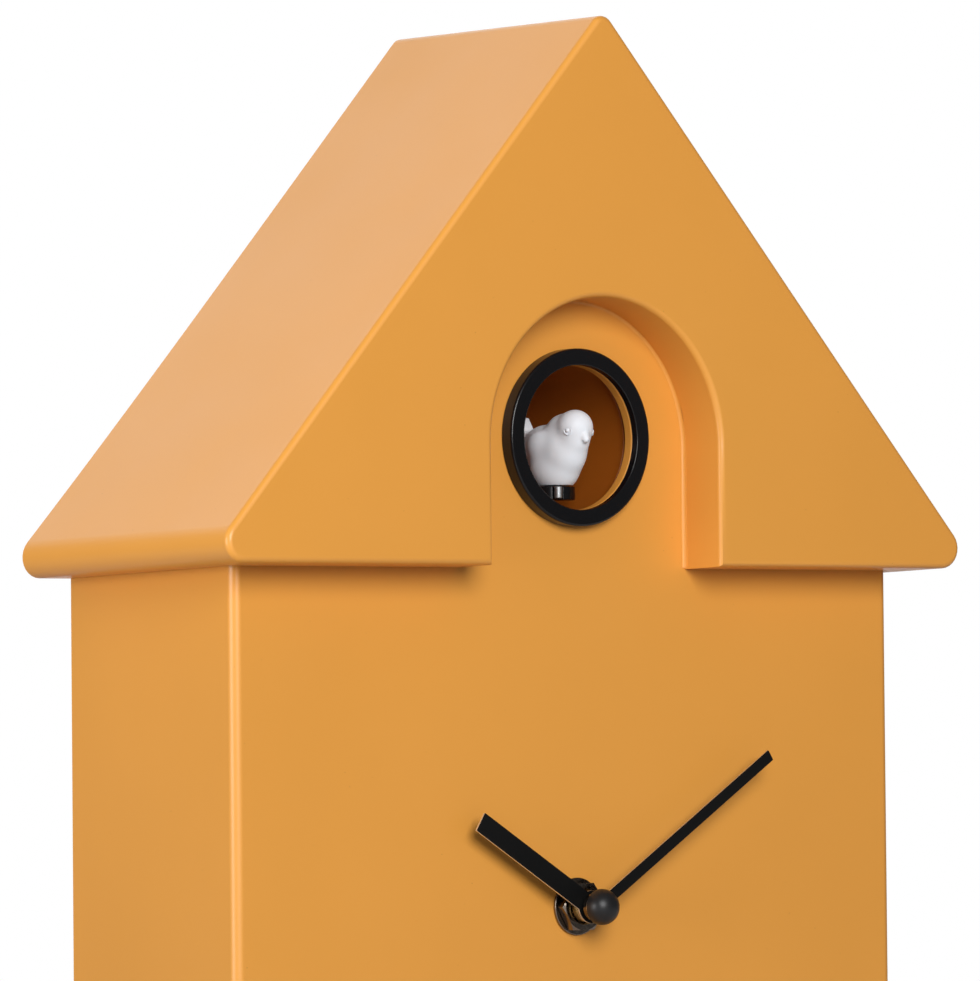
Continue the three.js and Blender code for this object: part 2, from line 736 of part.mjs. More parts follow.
function lockNut() {
  const across = 12 / Math.sqrt(3);
  const hexagon = rodY(across, nutBack - nutThick, nutBack, 0, axisZ, 6);
  const chamfer = turned(
    [
      [0, nutBack - nutThick - 0.01],
      [6.1, nutBack - nutThick - 0.01],
      [7.2, nutBack - nutThick + 0.7],
      [7.2, nutBack + 0.01],
      [0, nutBack + 0.01],
    ],
    0,
    axisZ,
    24,
  );
  return cut(hexagon.intersect(chamfer), rodY(4.25, layer(-8), panelY, 0, axisZ, 20));
}

function hourWheel() {
  const phase = meshPhase(minutePinionTeeth, minutePinionPhase, hourTeeth, minuteTurn + Math.PI);
  const wheel = gearY(hourTeeth, hourModule, phase, 0, axisZ, layer(5.8), layer(6.8));
  const tube = rodY(tubeRadius, layer(-7.1), layer(6.5), 0, axisZ, 20);
  return cut(join(wheel, tube), rodY(boreOfTube, layer(-8), layer(8), 0, axisZ, 16));
}

const minutePinionPhase = 0.1;
const cannonPhase = 0;
const centrePhase = 0;
const thirdPhase = 0.05;

function centreWheel() {
  const cannon = gearY(cannonTeeth, minuteModule, cannonPhase, 0, axisZ, layer(7.2), layer(9.2));
  const wheel = gearY(centreTeeth, centreModule, centrePhase, 0, axisZ, layer(9.8), layer(10.6));
  const hub = rodY(2.2, layer(9), layer(11), 0, axisZ, 12);
  const arbor = rodY(arborRadius, layer(-13), layer(10.8), 0, axisZ, 14);
  const tail = rodY(1, layer(10.6), rearPivot, 0, axisZ, 12);
  return join(cannon, wheel, hub, arbor, tail);
}

const minutePhase = meshPhase(cannonTeeth, cannonPhase, minuteTeeth, minuteTurn);

function minuteWheel() {
  const { x, z } = minutePlace;
  const wheel = gearY(minuteTeeth, minuteModule, minutePhase, x, z, layer(7.7), layer(8.8));
  const pinion = gearY(minutePinionTeeth, hourModule, minutePinionPhase, x, z, layer(5.5), layer(7.9));
  const hub = rodY(0.9, layer(4.7), layer(9), x, z, 10);
  return join(wheel, pinion, hub, rodY(0.55, layer(8.5), rearPivot, x, z, 8));
}

function thirdWheel() {
  const { x, z } = thirdPlace;
  const phase = meshPhase(centreTeeth, centrePhase, thirdPinionTeeth, thirdTurn);
  const pinion = gearY(thirdPinionTeeth, centreModule, phase, x, z, layer(9.4), layer(11.6));
  const wheel = gearY(thirdTeeth, thirdModule, thirdPhase, x, z, layer(11.4), layer(12.2));
  return join(pinion, wheel, rodY(0.6, layer(6.5), rearPivot, x, z, 8));
}

function secondsWheel() {
  const { x, z } = secondsPlace;
  const phase = meshPhase(thirdTeeth, thirdPhase, secondsPinionTeeth, secondsTurn);
  const pinion = gearY(secondsPinionTeeth, thirdModule, phase, x, z, layer(10.9), layer(13.2));
  const disc = rodY(4.6, layer(13), layer(13.8), x, z, 24);
  return join(pinion, disc, rodY(0.5, layer(9), rearPivot, x, z, 8));
}

// The knob at the back of the movement turns the minute wheel.
function settingKnob() {
  const { x, z } = settingPlace;
  const phase = meshPhase(minuteTeeth, minutePhase, settingTeeth, settingTurn);
  const pinion = gearY(settingTeeth, minuteModule, phase, x, z, layer(7.6), layer(8.9));
  const stem = rodY(1.9, layer(8.8), caseBack + 1, x, z, 12);
  const grip = knurled(5.4, 20, caseBack + 0.6, caseBack + 5, x, z);
  return join(pinion, stem, grip);
}

// A knob's round body with shallow grooves round its rim.
function knurled(radius, count, y0, y1, x, z) {
  const points = [];
  for (let i = 0; i < count * 2; i++) {
    const angle = (Math.PI * i) / count;
    const r = i % 2 ? radius : radius - 0.45;
    points.push([x + r * Math.cos(angle), z + r * Math.sin(angle)]);
  }
  return prismY(outline(points), y0, y1);
}

// The plate that carries the rear ends of the arbors.
function trainPlate() {
  const y0 = layer(14.4);
  const reach = caseHalf - 1.7;
  const plate = box(-reach, reach, y0, y0 + 1, axisZ - caseHalf + 1.8, cellZ - 9.8);
  const holes = [
    [centrePlace, 1.3],
    [minutePlace, 0.85],
    [thirdPlace, 0.9],
    [secondsPlace, 0.8],
    [settingPlace, 2.2],
  ].map(([place, radius]) => rodY(radius, y0 - 1, y0 + 2, place.x, place.z, 10));
  return cut(plate, ...holes);
}

const coilY = layer(9.6);
const coilZ = axisZ - caseHalf + 5.6;

function driveCoil() {
  const y = coilY;
  const spool = join(
    rodX(3.3, -20, 6, y, coilZ, 16),
    box(-21, -20, y - 3.8, y + 3.8, coilZ - 3.6, coilZ + 3.6),
    box(6, 7, y - 3.8, y + 3.8, coilZ - 3.6, coilZ + 3.6),
  );
  return cut(spool, box(-22, 8, y - 0.9, y + 0.9, coilZ - 1.4, coilZ + 1.4));
}

// The iron core runs through the coil and turns up round the step motor's sealed rotor.
function stator() {
  const y = coilY;
  const core = box(-24, 12, y - 0.6, y + 0.6, coilZ - 1.1, coilZ + 1.1);
  const pole = box(11, 25, y - 0.6, y + 0.6, coilZ - 2, coilZ + 15);
  const housing = rodY(5, y - 2.6, y + 3.4, 18, coilZ + 7, 20);
  return join(core, pole, housing);
}

function movementBoard() {
  const y = layer(16.2);
  const z0 = axisZ - caseHalf + 2;
  const board = box(-25, 4, y, y + 0.9, z0, z0 + 11);
  const crystal = rodX(0.7, -8, -1, y + 1.4, z0 + 4, 10);
  const chip = box(-20, -14, y + 0.7, y + 1.6, z0 + 3, z0 + 8);
  return join(board, crystal, chip);
}

// A dry cell lying along x, its button end towards +x.
function cell(y, z) {
  const reach = cellLength / 2;
  const can = rodX(cellRadius, -reach, reach - 1.4, y, z, 24);
  return join(can, rodX(2.7, reach - 1.6, reach, y, z, 12));
}

function cellContact(side) {
  const outerX = side * (caseHalf - caseWall - 0.3);
  const innerX = outerX - side * 0.5;
  const [x0, x1] = [outerX, innerX].toSorted((a, b) => a - b);
  const strip = box(x0, x1, cellY - 4, cellY + 4, cellZ - 4, cellZ + 4);
  return join(strip, ball(0.6, 2, 2, innerX, cellY, cellZ, 8, 6));
}

// ---------------------------------------------------------------- hands

// A flat bar from the hands' axis, turned clockwise from twelve, with a round eye at the axis.
function hand(length, width, angle, eye, bore, y0) {
  const cos = Math.cos(angle * degree);
  const sin = Math.sin(angle * degree);
  const corners = [
    [-width / 2, 0],
    [width / 2, 0],
    [width / 2, length],
    [-width / 2, length],
  ].map(([across, along]) => [across * cos + along * sin, axisZ - across * sin + along * cos]);
  const bar = prismY(outline(corners), y0, y0 + handThick);
  const disc = rodY(eye, y0, y0 + handThick, 0, axisZ, 24);
  return cut(join(bar, disc), rodY(bore, y0 - 1, y0 + 1, 0, axisZ, 20));
}

const hourHandY = layer(-6.7);
const minuteHandY = layer(-9.8);

function minuteCollar() {
  const ring = rodY(3.6, minuteHandY + handThick + 0.1, layer(-7.3), 0, axisZ, 24);
  return cut(ring, rodY(arborRadius + 0.15, layer(-11), layer(-6), 0, axisZ, 16));
}

function handCap() {
  const radius = 4.65;
  const base = minuteHandY - 0.15;
  const shoulder = base - 0.95;
  const front = layer(-15.1);
  const profile = [
    [arborRadius + 0.2, base],
    [radius, base],
    [radius, shoulder],
  ];
  for (let i = 1; i < 7; i++) {
    const angle = (i * Math.PI) / 14;
    profile.push([radius * Math.cos(angle), shoulder + (front - shoulder) * Math.sin(angle)]);
  }
  profile.push([0, front], [0, layer(-13.4)], [arborRadius + 0.2, layer(-13.4)]);
  return turned([...profile, profile[0]], 0, axisZ, 20);
}

// ---------------------------------------------------------------- chime unit

const trayCells = [24, 39.5];
const trayY = 29.7;

function batteryTray() {
  const low = serviceOpening.low + 1.5;
  const body = box(-30, 30, trayY - 8.7, trayY + 7.8, low, low + 33);
  const foot = box(-30, 30, backInnerY - 3.2, backInnerY - gap, low - 7, low + 1);
  const hollows = trayCells.flatMap((z) => [
    rodX(cellRadius + 0.4, -27, 27, trayY, z, 20),
    box(-27, 27, trayY, trayY + 9, z - cellRadius - 0.4, z + cellRadius + 0.4),
  ]);
  const thumb = box(-9, 9, trayY - 2, trayY + 9, low + 2, low + 31);
  return cut(join(body, foot), ...hollows, thumb);
}

function speakerFrame() {
  const rim = backInnerY - gap;
  const profile = [
    [0, rim - 15],
    [13, rim - 15],
    [13, rim - 9],
    [22.5, rim - 2],
    [25, rim - 2],
    [25, rim],
    [22.8, rim],
    [11, rim - 8.4],
    [0, rim - 8.4],
  ];
  return turned(profile, 0, speakerZ, 24);
}

function speakerCone() {
  const rim = backInnerY - gap;
  const profile = [
    [0, rim - 7.7],
    [4, rim - 7.7],
    [20.5, rim - 1.2],
    [20.5, rim - 0.4],
    [3.8, rim - 6.8],
    [0, rim - 6.8],
  ];
  return turned(profile, 0, speakerZ, 20);
}

const boardFrontY = 31;

function chimeBoard() {
  const y1 = boardFrontY + 1.6;
  const board = box(-96, -52, boardFrontY, y1, 62, 128);
  const chip = box(-63, -55, y1 - 0.3, y1 + 1.6, 92, 104);
  const can = rodY(3, boardFrontY - 7, boardFrontY + 0.3, -88, 72, 14);
  const { x, z } = switchPlace;
  const rail = box(x - 8, x + 8, y1 - 0.3, y1 + 1.4, z - 3, z + 3);
  const pot = box(knobPlace.x - 6, knobPlace.x + 6, y1 - 0.3, y1 + 0.8, knobPlace.z - 6, knobPlace.z + 6);
  return join(board, chip, can, rail, pot);
}

function modeSwitch() {
  const { x, z } = switchPlace;
  const stem = box(x - 1.6, x + 1.6, boardFrontY + 3.4, backY - 1.6, z - 1.6, z + 1.6);
  const pad = box(x - 2.6, x + 2.6, backY - 2, backY - 0.3, z - 2.1, z + 2.1);
  const groove = box(x - 0.4, x + 0.4, backY - 0.8, backY, z - 3, z + 3);
  return cut(join(stem, pad), groove);
}

function volumeKnob() {
  const { x, z } = knobPlace;
  const stem = rodY(2.2, boardFrontY + 2.8, backY - 4, x, z, 12);
  const grip = knurled(6.8, 18, backY - 4.5, backY - 0.3, x, z);
  return cut(join(stem, grip), box(x - 0.6, x + 0.6, backY - 1.2, backY, z + 1.5, z + 7));
}

// ---------------------------------------------------------------- the clock

const finishes = {
  shell: { color: 0xdf9c42, roughness: 0.42, metalness: 0 },
  black: { color: 0x0d0c0b, roughness: 0.3, metalness: 0 },
  white: { color: 0xe6e7ef, roughness: 0.6, metalness: 0 },
  nylon: { color: 0xd9d6c8, roughness: 0.5, metalness: 0 },
  steel: { color: 0xb4b5b8, roughness: 0.3, metalness: 1 },
  nickel: { color: 0x8a8378, roughness: 0.22, metalness: 1 },
  brass: { color: 0xc49a4b, roughness: 0.3, metalness: 1 },
  copper: { color: 0xa85a30, roughness: 0.4, metalness: 1 },
  rubber: { color: 0x2a2a2a, roughness: 0.9, metalness: 0 },
  board: { color: 0x1f5a35, roughness: 0.5, metalness: 0 },
  cell: { color: 0x3a4a58, roughness: 0.35, metalness: 0.6 },
  paper: { color: 0x1b1b1c, roughness: 0.95, metalness: 0 },
};

function part(name, made, finish) {
  const mesh = new THREE.Mesh(geometryOf(made), new THREE.MeshStandardMaterial(finishes[finish]));
  mesh.name = name;
  return mesh;
}

function group(...parts) {
  const made = new THREE.Group();
  made.add(...parts);
  return made;
}

const caseGroup = group(
  part("roof_shell", roofShell(), "shell"),
  part("body_shell", bodyShell(), "shell"),
  part("back_panel", backPanel(), "shell"),
  part("service_door", serviceDoor(), "shell"),
  part("door_pin", doorPin(), "steel"),
  part("hanger_plate", hangerPlate(), "steel"),
  part("base_pad_left", basePad(-1), "rubber"),
  part("base_pad_right", basePad(1), "rubber"),
  ...[...bodyScrews, ...roofScrews].map(([x, z], i) =>
    part(`back_screw_${i + 1}`, screw(x, z, backY - 0.2, 14), "steel"),
  ),
  ...frameScrews.map(([x, z], i) =>
    part(`frame_screw_${i + 1}`, screw(x, z, frameFrontY + earThick + 1.5, 7), "steel"),
  ),
);

const birdGroup = group(
  part("window_ring", windowRing(), "black"),
  part("nest_tube", nestTube(), "shell"),
  part("bird", bird(), "white"),
  part("bird_arm", birdArm(), "black"),
  part("foot_pin", footPin(), "steel"),
  part("slide_carriage", slideCarriage(), "nylon"),
  part("guide_rail_left", guideRail(-1), "steel"),
  part("guide_rail_right", guideRail(1), "steel"),
  part("slide_frame", slideFrame(), "black"),
  part("reduction_gear", reductionGear(), "nylon"),
  part("gear_axle", gearAxle(), "steel"),
  part("drive_motor", driveMotor(), "steel"),
  part("motor_shaft", motorShaft(), "brass"),
);

const movementGroup = group(
  part("movement_case", movementCase(), "black"),
  part("movement_cover", movementCover(), "black"),
  part("train_plate", trainPlate(), "nylon"),
  part("shaft_bush", shaftBush(), "brass"),
  part("lock_washer", lockWasher(), "nickel"),
  part("lock_nut", lockNut(), "nickel"),
  part("hour_wheel", hourWheel(), "nylon"),
  part("centre_wheel", centreWheel(), "nylon"),
  part("minute_wheel", minuteWheel(), "nylon"),
  part("third_wheel", thirdWheel(), "nylon"),
  part("seconds_wheel", secondsWheel(), "nylon"),
  part("setting_knob", settingKnob(), "white"),
  part("drive_coil", driveCoil(), "copper"),
  part("stator", stator(), "steel"),
  part("movement_board", movementBoard(), "board"),
  part("movement_cell", cell(cellY, cellZ), "cell"),
  part("cell_contact_minus", cellContact(-1), "steel"),
  part("cell_contact_plus", cellContact(1), "steel"),
);

const handGroup = group(
  part("hour_hand", hand(hourLength, hourWidth, hourAngle, 4.2, tubeRadius + 0.15, hourHandY), "black"),
  part(
    "minute_hand",
    hand(minuteLength, minuteWidth, minuteAngle, 3.9, arborRadius + 0.15, minuteHandY),
    "black",
  ),
  part("minute_collar", minuteCollar(), "steel"),
  part("hand_cap", handCap(), "black"),
);

const chimeGroup = group(
  part("battery_tray", batteryTray(), "black"),
  ...trayCells.map((z, i) => part(`chime_cell_${i + 1}`, cell(trayY, z), "cell")),
  part("speaker_frame", speakerFrame(), "steel"),
  part("speaker_cone", speakerCone(), "paper"),
  part("chime_board", chimeBoard(), "board"),
  part("mode_switch", modeSwitch(), "black"),
  part("volume_knob", volumeKnob(), "black"),
);

const clock = group(caseGroup, birdGroup, movementGroup, handGroup, chimeGroup);

export default clock;
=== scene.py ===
import bmesh
import bpy
import json
import math
from mathutils import Matrix, Vector

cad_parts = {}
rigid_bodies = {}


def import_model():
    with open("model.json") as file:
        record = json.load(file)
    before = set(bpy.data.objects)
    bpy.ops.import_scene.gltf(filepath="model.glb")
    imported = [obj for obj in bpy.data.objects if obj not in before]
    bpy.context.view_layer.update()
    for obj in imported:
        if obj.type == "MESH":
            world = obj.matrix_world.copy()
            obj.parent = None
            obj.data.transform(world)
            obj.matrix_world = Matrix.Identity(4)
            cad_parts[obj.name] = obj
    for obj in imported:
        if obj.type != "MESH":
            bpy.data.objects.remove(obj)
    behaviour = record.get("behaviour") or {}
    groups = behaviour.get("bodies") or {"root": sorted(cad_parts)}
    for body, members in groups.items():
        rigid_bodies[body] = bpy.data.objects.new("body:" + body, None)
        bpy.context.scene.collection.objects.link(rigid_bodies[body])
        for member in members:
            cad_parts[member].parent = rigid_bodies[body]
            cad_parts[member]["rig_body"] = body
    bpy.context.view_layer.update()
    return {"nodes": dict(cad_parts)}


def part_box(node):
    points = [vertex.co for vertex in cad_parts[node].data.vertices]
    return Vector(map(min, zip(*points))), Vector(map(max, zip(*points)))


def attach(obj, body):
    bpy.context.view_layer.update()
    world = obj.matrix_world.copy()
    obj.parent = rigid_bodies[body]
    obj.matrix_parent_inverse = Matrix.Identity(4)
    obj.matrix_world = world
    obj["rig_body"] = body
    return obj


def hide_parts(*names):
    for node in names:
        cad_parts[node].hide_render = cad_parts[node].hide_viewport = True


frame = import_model()
print("frame: the packed clock is loaded,", len(frame["nodes"]), "nodes")

# places, all read from the frame

mm = 0.001
gap = 0.3 * mm  # clearance that the clock's parts keep to each other
roofLow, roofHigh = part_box("roof_shell")
bodyLow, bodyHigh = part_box("body_shell")
ringLow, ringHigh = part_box("window_ring")
nutLow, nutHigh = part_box("lock_nut")
frontY = roofLow.y
backY = roofHigh.y
panelY = ringHigh.y + gap
windowZ = (ringLow.z + ringHigh.z) / 2
eavesZ = windowZ - 33.3 * mm
axisZ = (nutLow.z + nutHigh.z) / 2
baseZ = bodyLow.z
bodyHalf = bodyHigh.x


def middleOf(node):
    low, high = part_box(node)
    return (low + high) / 2


# mesh tools


def objectFrom(name, mesh):
    piece = bpy.data.objects.new(name, mesh)
    bpy.context.scene.collection.objects.link(piece)
    return piece


def meshFrom(name, points, faces):
    mesh = bpy.data.meshes.new(name)
    mesh.from_pydata([tuple(p) for p in points], [], faces)
    form = bmesh.new()
    form.from_mesh(mesh)
    bmesh.ops.recalc_face_normals(form, faces=form.faces)
    form.to_mesh(mesh)
    form.free()
    return mesh


# An outline in two directions drawn out along the third; axis names the way it is drawn out.
def prism(name, outline, start, end, axis="y"):
    place = {
        "x": lambda a, b, c: (c, a, b),
        "y": lambda a, b, c: (a, c, b),
        "z": lambda a, b, c: (a, b, c),
    }[axis]
    count = len(outline)
    points = [place(a, b, start) for a, b in outline] + [place(a, b, end) for a, b in outline]
    faces = [[i, (i + 1) % count, count + (i + 1) % count, count + i] for i in range(count)]
    faces += [list(range(count)), list(range(count, 2 * count))]
    return objectFrom(name, meshFrom(name, points, faces))


# A profile of (radius, height) pairs turned round an axis that points along turnAxis.
def lathe(name, profile, centre, turnAxis="y", sides=96, closed=False):
    points, faces = [], []
    for i in range(sides):
        angle = 2 * math.pi * i / sides
        for radius, height in profile:
            flat = (radius * math.cos(angle), radius * math.sin(angle), height)
            points.append(flat)
    rows = len(profile)
    steps = rows if closed else rows - 1
    for i in range(sides):
        here, there = i * rows, ((i + 1) % sides) * rows
        for k in range(steps):
            nextRow = (k + 1) % rows
            faces.append([here + k, there + k, there + nextRow, here + nextRow])
    turns = {
        "z": Matrix.Identity(3),
        "y": Matrix(((1, 0, 0), (0, 0, 1), (0, -1, 0))),
        "x": Matrix(((0, 0, 1), (1, 0, 0), (0, 1, 0))),
    }
    points = [turns[turnAxis] @ Vector(p) + Vector(centre) for p in points]
    mesh = meshFrom(name, points, faces)
    form = bmesh.new()
    form.from_mesh(mesh)
    bmesh.ops.remove_doubles(form, verts=form.verts, dist=0.0005 * mm)
    bmesh.ops.dissolve_degenerate(form, edges=form.edges, dist=0.0005 * mm)
    bmesh.ops.recalc_face_normals(form, faces=form.faces)
    form.to_mesh(mesh)
    form.free()
    return objectFrom(name, mesh)


def rod(name, radius, start, end, centre, axis="y", sides=48):
    profile = [(0, start), (radius, start), (radius, end), (0, end)]
    return lathe(name, profile, centre, axis, sides)


def block(name, low, high):
    outline = [(low[0], low[1]), (high[0], low[1]), (high[0], high[1]), (low[0], high[1])]
    return prism(name, outline, low[2], high[2], "z")


def ellipsoid(name, radii, centre, around=40, rings=24):
    form = bmesh.new()
    bmesh.ops.create_uvsphere(form, u_segments=around, v_segments=rings, radius=1)
    bmesh.ops.scale(form, vec=radii, verts=form.verts)
    bmesh.ops.translate(form, vec=centre, verts=form.verts)
    mesh = bpy.data.meshes.new(name)
    form.to_mesh(mesh)
    form.free()
    return objectFrom(name, mesh)


# Corners as (a, b, radius); every round one becomes an arc with a support point on each side of it.
def rounded(corners, steps=8, support=0.5 * mm):
    outline = []
    for i, (a, b, radius) in enumerate(corners):
        here = Vector((a, b))
        if not radius:
            outline.append((a, b))
            continue
        toBack = (Vector(corners[i - 1][:2]) - here).normalized()
        toNext = (Vector(corners[(i + 1) % len(corners)][:2]) - here).normalized()
        halfAngle = toBack.angle(toNext) / 2
        centre = here + (toBack + toNext).normalized() * (radius / math.sin(halfAngle))
        reach = radius / math.tan(halfAngle)
        first = here + toBack * reach - centre
        last = here + toNext * reach - centre
        start = math.atan2(first.y, first.x)
        turn = math.atan2(first.x * last.y - first.y * last.x, first.dot(last))
        outline.append(tuple(here + toBack * (reach + support)))
        for k in range(steps + 1):
            angle = start + turn * k / steps
            outline.append((centre.x + radius * math.cos(angle), centre.y + radius * math.sin(angle)))
        outline.append(tuple(here + toNext * (reach + support)))
    return outline


def joined(name, pieces):
    form = bmesh.new()
    for piece in pieces:
        form.from_mesh(piece.data)
        bpy.data.objects.remove(piece)
    mesh = bpy.data.meshes.new(name)
    form.to_mesh(mesh)
    form.free()
    return objectFrom(name, mesh)


# The object's mesh with its modifiers worked into it.
def settled(piece):
    graph = bpy.context.evaluated_depsgraph_get()
    mesh = bpy.data.meshes.new_from_object(piece.evaluated_get(graph), depsgraph=graph)
    piece.modifiers.clear()
    piece.data = mesh
    return piece


def combined(base, tools, operation):
    for tool in tools:
        step = base.modifiers.new("step", "BOOLEAN")
        step.operation = operation
        step.solver = "EXACT"
        step.object = tool
    settled(base)
    for tool in tools:
        bpy.data.objects.remove(tool)
    return base


def cut(base, *tools):
    return combined(base, tools, "DIFFERENCE")


def fused(base, *tools):
    return combined(base, tools, "UNION")


def cleaned(piece, merge=0.004 * mm, flat=0.4):
    form = bmesh.new()
    form.from_mesh(piece.data)
    bmesh.ops.remove_doubles(form, verts=form.verts, dist=merge)
    bmesh.ops.dissolve_limit(form, angle_limit=math.radians(flat), verts=form.verts, edges=form.edges)
    form.to_mesh(piece.data)
    form.free()
    return piece


# Rounds the edges that the test picks out, with a true arc.
def roundEdges(piece, radius, test, segments=5):
    form = bmesh.new()
    form.from_mesh(piece.data)
    picked = [e for e in form.edges if len(e.link_faces) == 2 and test(e)]
    bmesh.ops.bevel(
        form, geom=picked, offset=radius, offset_type="OFFSET", segments=segments, profile=0.5,
        affect="EDGES", clamp_overlap=True,
    )
    form.to_mesh(piece.data)
    form.free()
    return piece


# Softens what is still a sharp edge and makes the flat faces shade flat.
def softened(piece, width, segments=2, angle=32):
    for polygon in piece.data.polygons:
        polygon.use_smooth = True
    if width:
        edge = piece.modifiers.new("edge", "BEVEL")
        edge.width = width
        edge.segments = segments
        edge.limit_method = "ANGLE"
        edge.angle_limit = math.radians(angle)
        edge.harden_normals = True
        edge.use_clamp_overlap = True
    else:
        piece.data.set_sharp_from_angle(angle=math.radians(angle))
    even = piece.modifiers.new("even", "WEIGHTED_NORMAL")
    even.keep_sharp = True
    even.weight = 60
    return settled(piece)


def painted(piece, *finishes):
    piece.data.materials.clear()
    for finish in finishes:
        piece.data.materials.append(finish)
    return piece


# The piece rides on the body of the nodes it stands for, and takes their place.
def standFor(piece, slotName, *nodes):
    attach(piece, frame["nodes"][nodes[0]]["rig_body"])
    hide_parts(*nodes)
    return piece


def copied(name, *nodes):
    form = bmesh.new()
    for node in nodes:
        form.from_mesh(frame["nodes"][node].data)
    mesh = bpy.data.meshes.new(name)
    form.to_mesh(mesh)
    form.free()
    return objectFrom(name, mesh)


# A finer copy of CAD nodes: merged, with flat faces made whole and every edge softened.
def refined(name, nodes, finish, slotName, width=0.2 * mm, segments=2, angle=32):
    piece = cleaned(copied(name, *nodes))
    softened(piece, width, segments, angle)
    painted(piece, finish)
    return standFor(piece, slotName, *nodes)


# node trees: one class for what a node gives, one for the tree that holds the nodes


class Output:
    def __init__(self, maker, socket):
        self.maker = maker
        self.socket = socket

    def maths(self, operation, first, second=0.0):
        return self.maker.add("ShaderNodeMath", {"operation": operation}, {0: first, 1: second})

    def __add__(self, other):
        return self.maths("ADD", self, other)

    def __radd__(self, other):
        return self.maths("ADD", other, self)

    def __sub__(self, other):
        return self.maths("SUBTRACT", self, other)

    def __rsub__(self, other):
        return self.maths("SUBTRACT", other, self)

    def __mul__(self, other):
        return self.maths("MULTIPLY", self, other)

    def __rmul__(self, other):
        return self.maths("MULTIPLY", other, self)

    def __truediv__(self, other):
        return self.maths("DIVIDE", self, other)

    def __pow__(self, other):
        return self.maths("POWER", self, other)


class NodeMaker:
    def __init__(self, tree):
        self.tree = tree

    # settings are set first, then the values or links of the sockets
    def add(self, kind, settings=None, inputs=None, output=0):
        node = self.tree.nodes.new(kind)
        for key, value in (settings or {}).items():
            setattr(node, key, value)
        for key, value in (inputs or {}).items():
            self.feed(node.inputs[key], value)
        return Output(self, node.outputs[output])

    # a list gives a socket that takes many links all of them
    def feed(self, socket, value):
        for each in value if isinstance(value, list) else [value]:
            if isinstance(each, Output):
                self.tree.links.new(each.socket, socket)
            else:
                socket.default_value = each


class Finish(NodeMaker):
    def __init__(self, name, **constants):
        self.material = bpy.data.materials.new(name)
        self.material.use_nodes = True
        super().__init__(self.material.node_tree)
        self.shader = self.tree.nodes["Principled BSDF"]
        for key, value in constants.items():
            self.shader.inputs[key.replace("_", " ")].default_value = value
        self.place = self.add("ShaderNodeTexCoord", output="Object")

    def noise(self, scale, detail=2.0, roughness=0.5, stretch=(1, 1, 1)):
        inputs = {"Vector": self.place, "Scale": stretch}
        spread = self.add("ShaderNodeMapping", {"vector_type": "POINT"}, inputs)
        inputs = {"Vector": spread, "Scale": scale, "Detail": detail, "Roughness": roughness}
        return self.add("ShaderNodeTexNoise", None, inputs)

    def specks(self, scale, size):
        far = self.add("ShaderNodeTexVoronoi", None, {"Vector": self.place, "Scale": scale})
        return far.maths("LESS_THAN", far, size)

    def between(self, value, low, high, toLow=0.0, toHigh=1.0):
        inputs = {"Value": value, "From Min": low, "From Max": high, "To Min": toLow, "To Max": toHigh}
        return self.add("ShaderNodeMapRange", {"clamp": True}, inputs)

    # a Mix node for colours has its factor, colours and result at these sockets
    def mixed(self, factor, first, second):
        inputs = {0: factor, 6: first, 7: second}
        return self.add("ShaderNodeMix", {"data_type": "RGBA"}, inputs, output=2)

    def colour(self, value):
        self.feed(self.shader.inputs["Base Color"], value)

    def rough(self, value):
        self.feed(self.shader.inputs["Roughness"], value)

    def bump(self, height, depth, strength=1.0):
        inputs = {"Height": height, "Distance": depth, "Strength": strength}
        self.feed(self.shader.inputs["Normal"], self.add("ShaderNodeBump", None, inputs))


def tint(colour, factor):
    return (*[min(1.0, c * factor) for c in colour], 1)


# A moulded plastic: slow drift of tone, a fine spark-eroded grain, and a few dust specks.
def moulded(
    name, colour, roughness, grainScale=1500, grainDepth=0.03 * mm, drift=0.05, dust=0.0, **constants,
):
    finish = Finish(name, **constants)
    slow = finish.between(finish.noise(14, 3), 0.3, 0.7)
    tone = finish.mixed(slow, tint(colour, 1 - drift), tint(colour, 1 + drift))
    if dust:
        speck = finish.specks(260, 0.035) * finish.between(finish.noise(40), 0.5, 0.62)
        tone = finish.mixed(speck * dust, tone, tint(colour, 0.35))
    finish.colour(tone)
    grain = finish.noise(grainScale, 2, 0.6)
    cloud = finish.between(finish.noise(30, 4), 0.3, 0.7, roughness - 0.03, roughness + 0.03)
    finish.rough(cloud + grain * 0.04)
    finish.bump(grain, grainDepth, 0.5)
    return finish.material


# A metal with fine lines along one direction and cloudy dark spots.
def metal(name, colour, roughness, lines=(1, 1, 1), lineScale=900, tarnish=0.2):
    finish = Finish(name, Metallic=1.0)
    cloud = finish.between(finish.noise(220, 4, 0.6), 0.42, 0.68)
    finish.colour(finish.mixed(cloud * tarnish, tint(colour, 1.0), tint(colour, 0.45)))
    streak = finish.noise(lineScale, 2, 0.7, lines)
    finish.rough(finish.between(streak, 0.3, 0.7, roughness - 0.06, roughness + 0.08) + cloud * 0.08)
    finish.bump(streak, 0.008 * mm, 0.4)
    return finish.material


# Green solder mask over a faint net of copper tracks.
def boardFinish():
    finish = Finish("circuitBoard", Roughness=0.35, Coat_Weight=0.3)
    white, black = (1, 1, 1, 1), (0, 0, 0, 1)
    net = finish.add("ShaderNodeTexBrick", None, {
        "Vector": finish.place, "Scale": 260.0, "Mortar Size": 0.06,
        "Color1": white, "Color2": white, "Mortar": black,
    })
    mask = finish.mixed(net, finishColours["track"], finishColours["mask"])
    cloud = finish.between(finish.noise(120, 3), 0.3, 0.7)
    finish.colour(finish.mixed(cloud * 0.3, mask, finishColours["maskDark"]))
    finish.bump(net, 0.02 * mm, 0.5)
    return finish.material


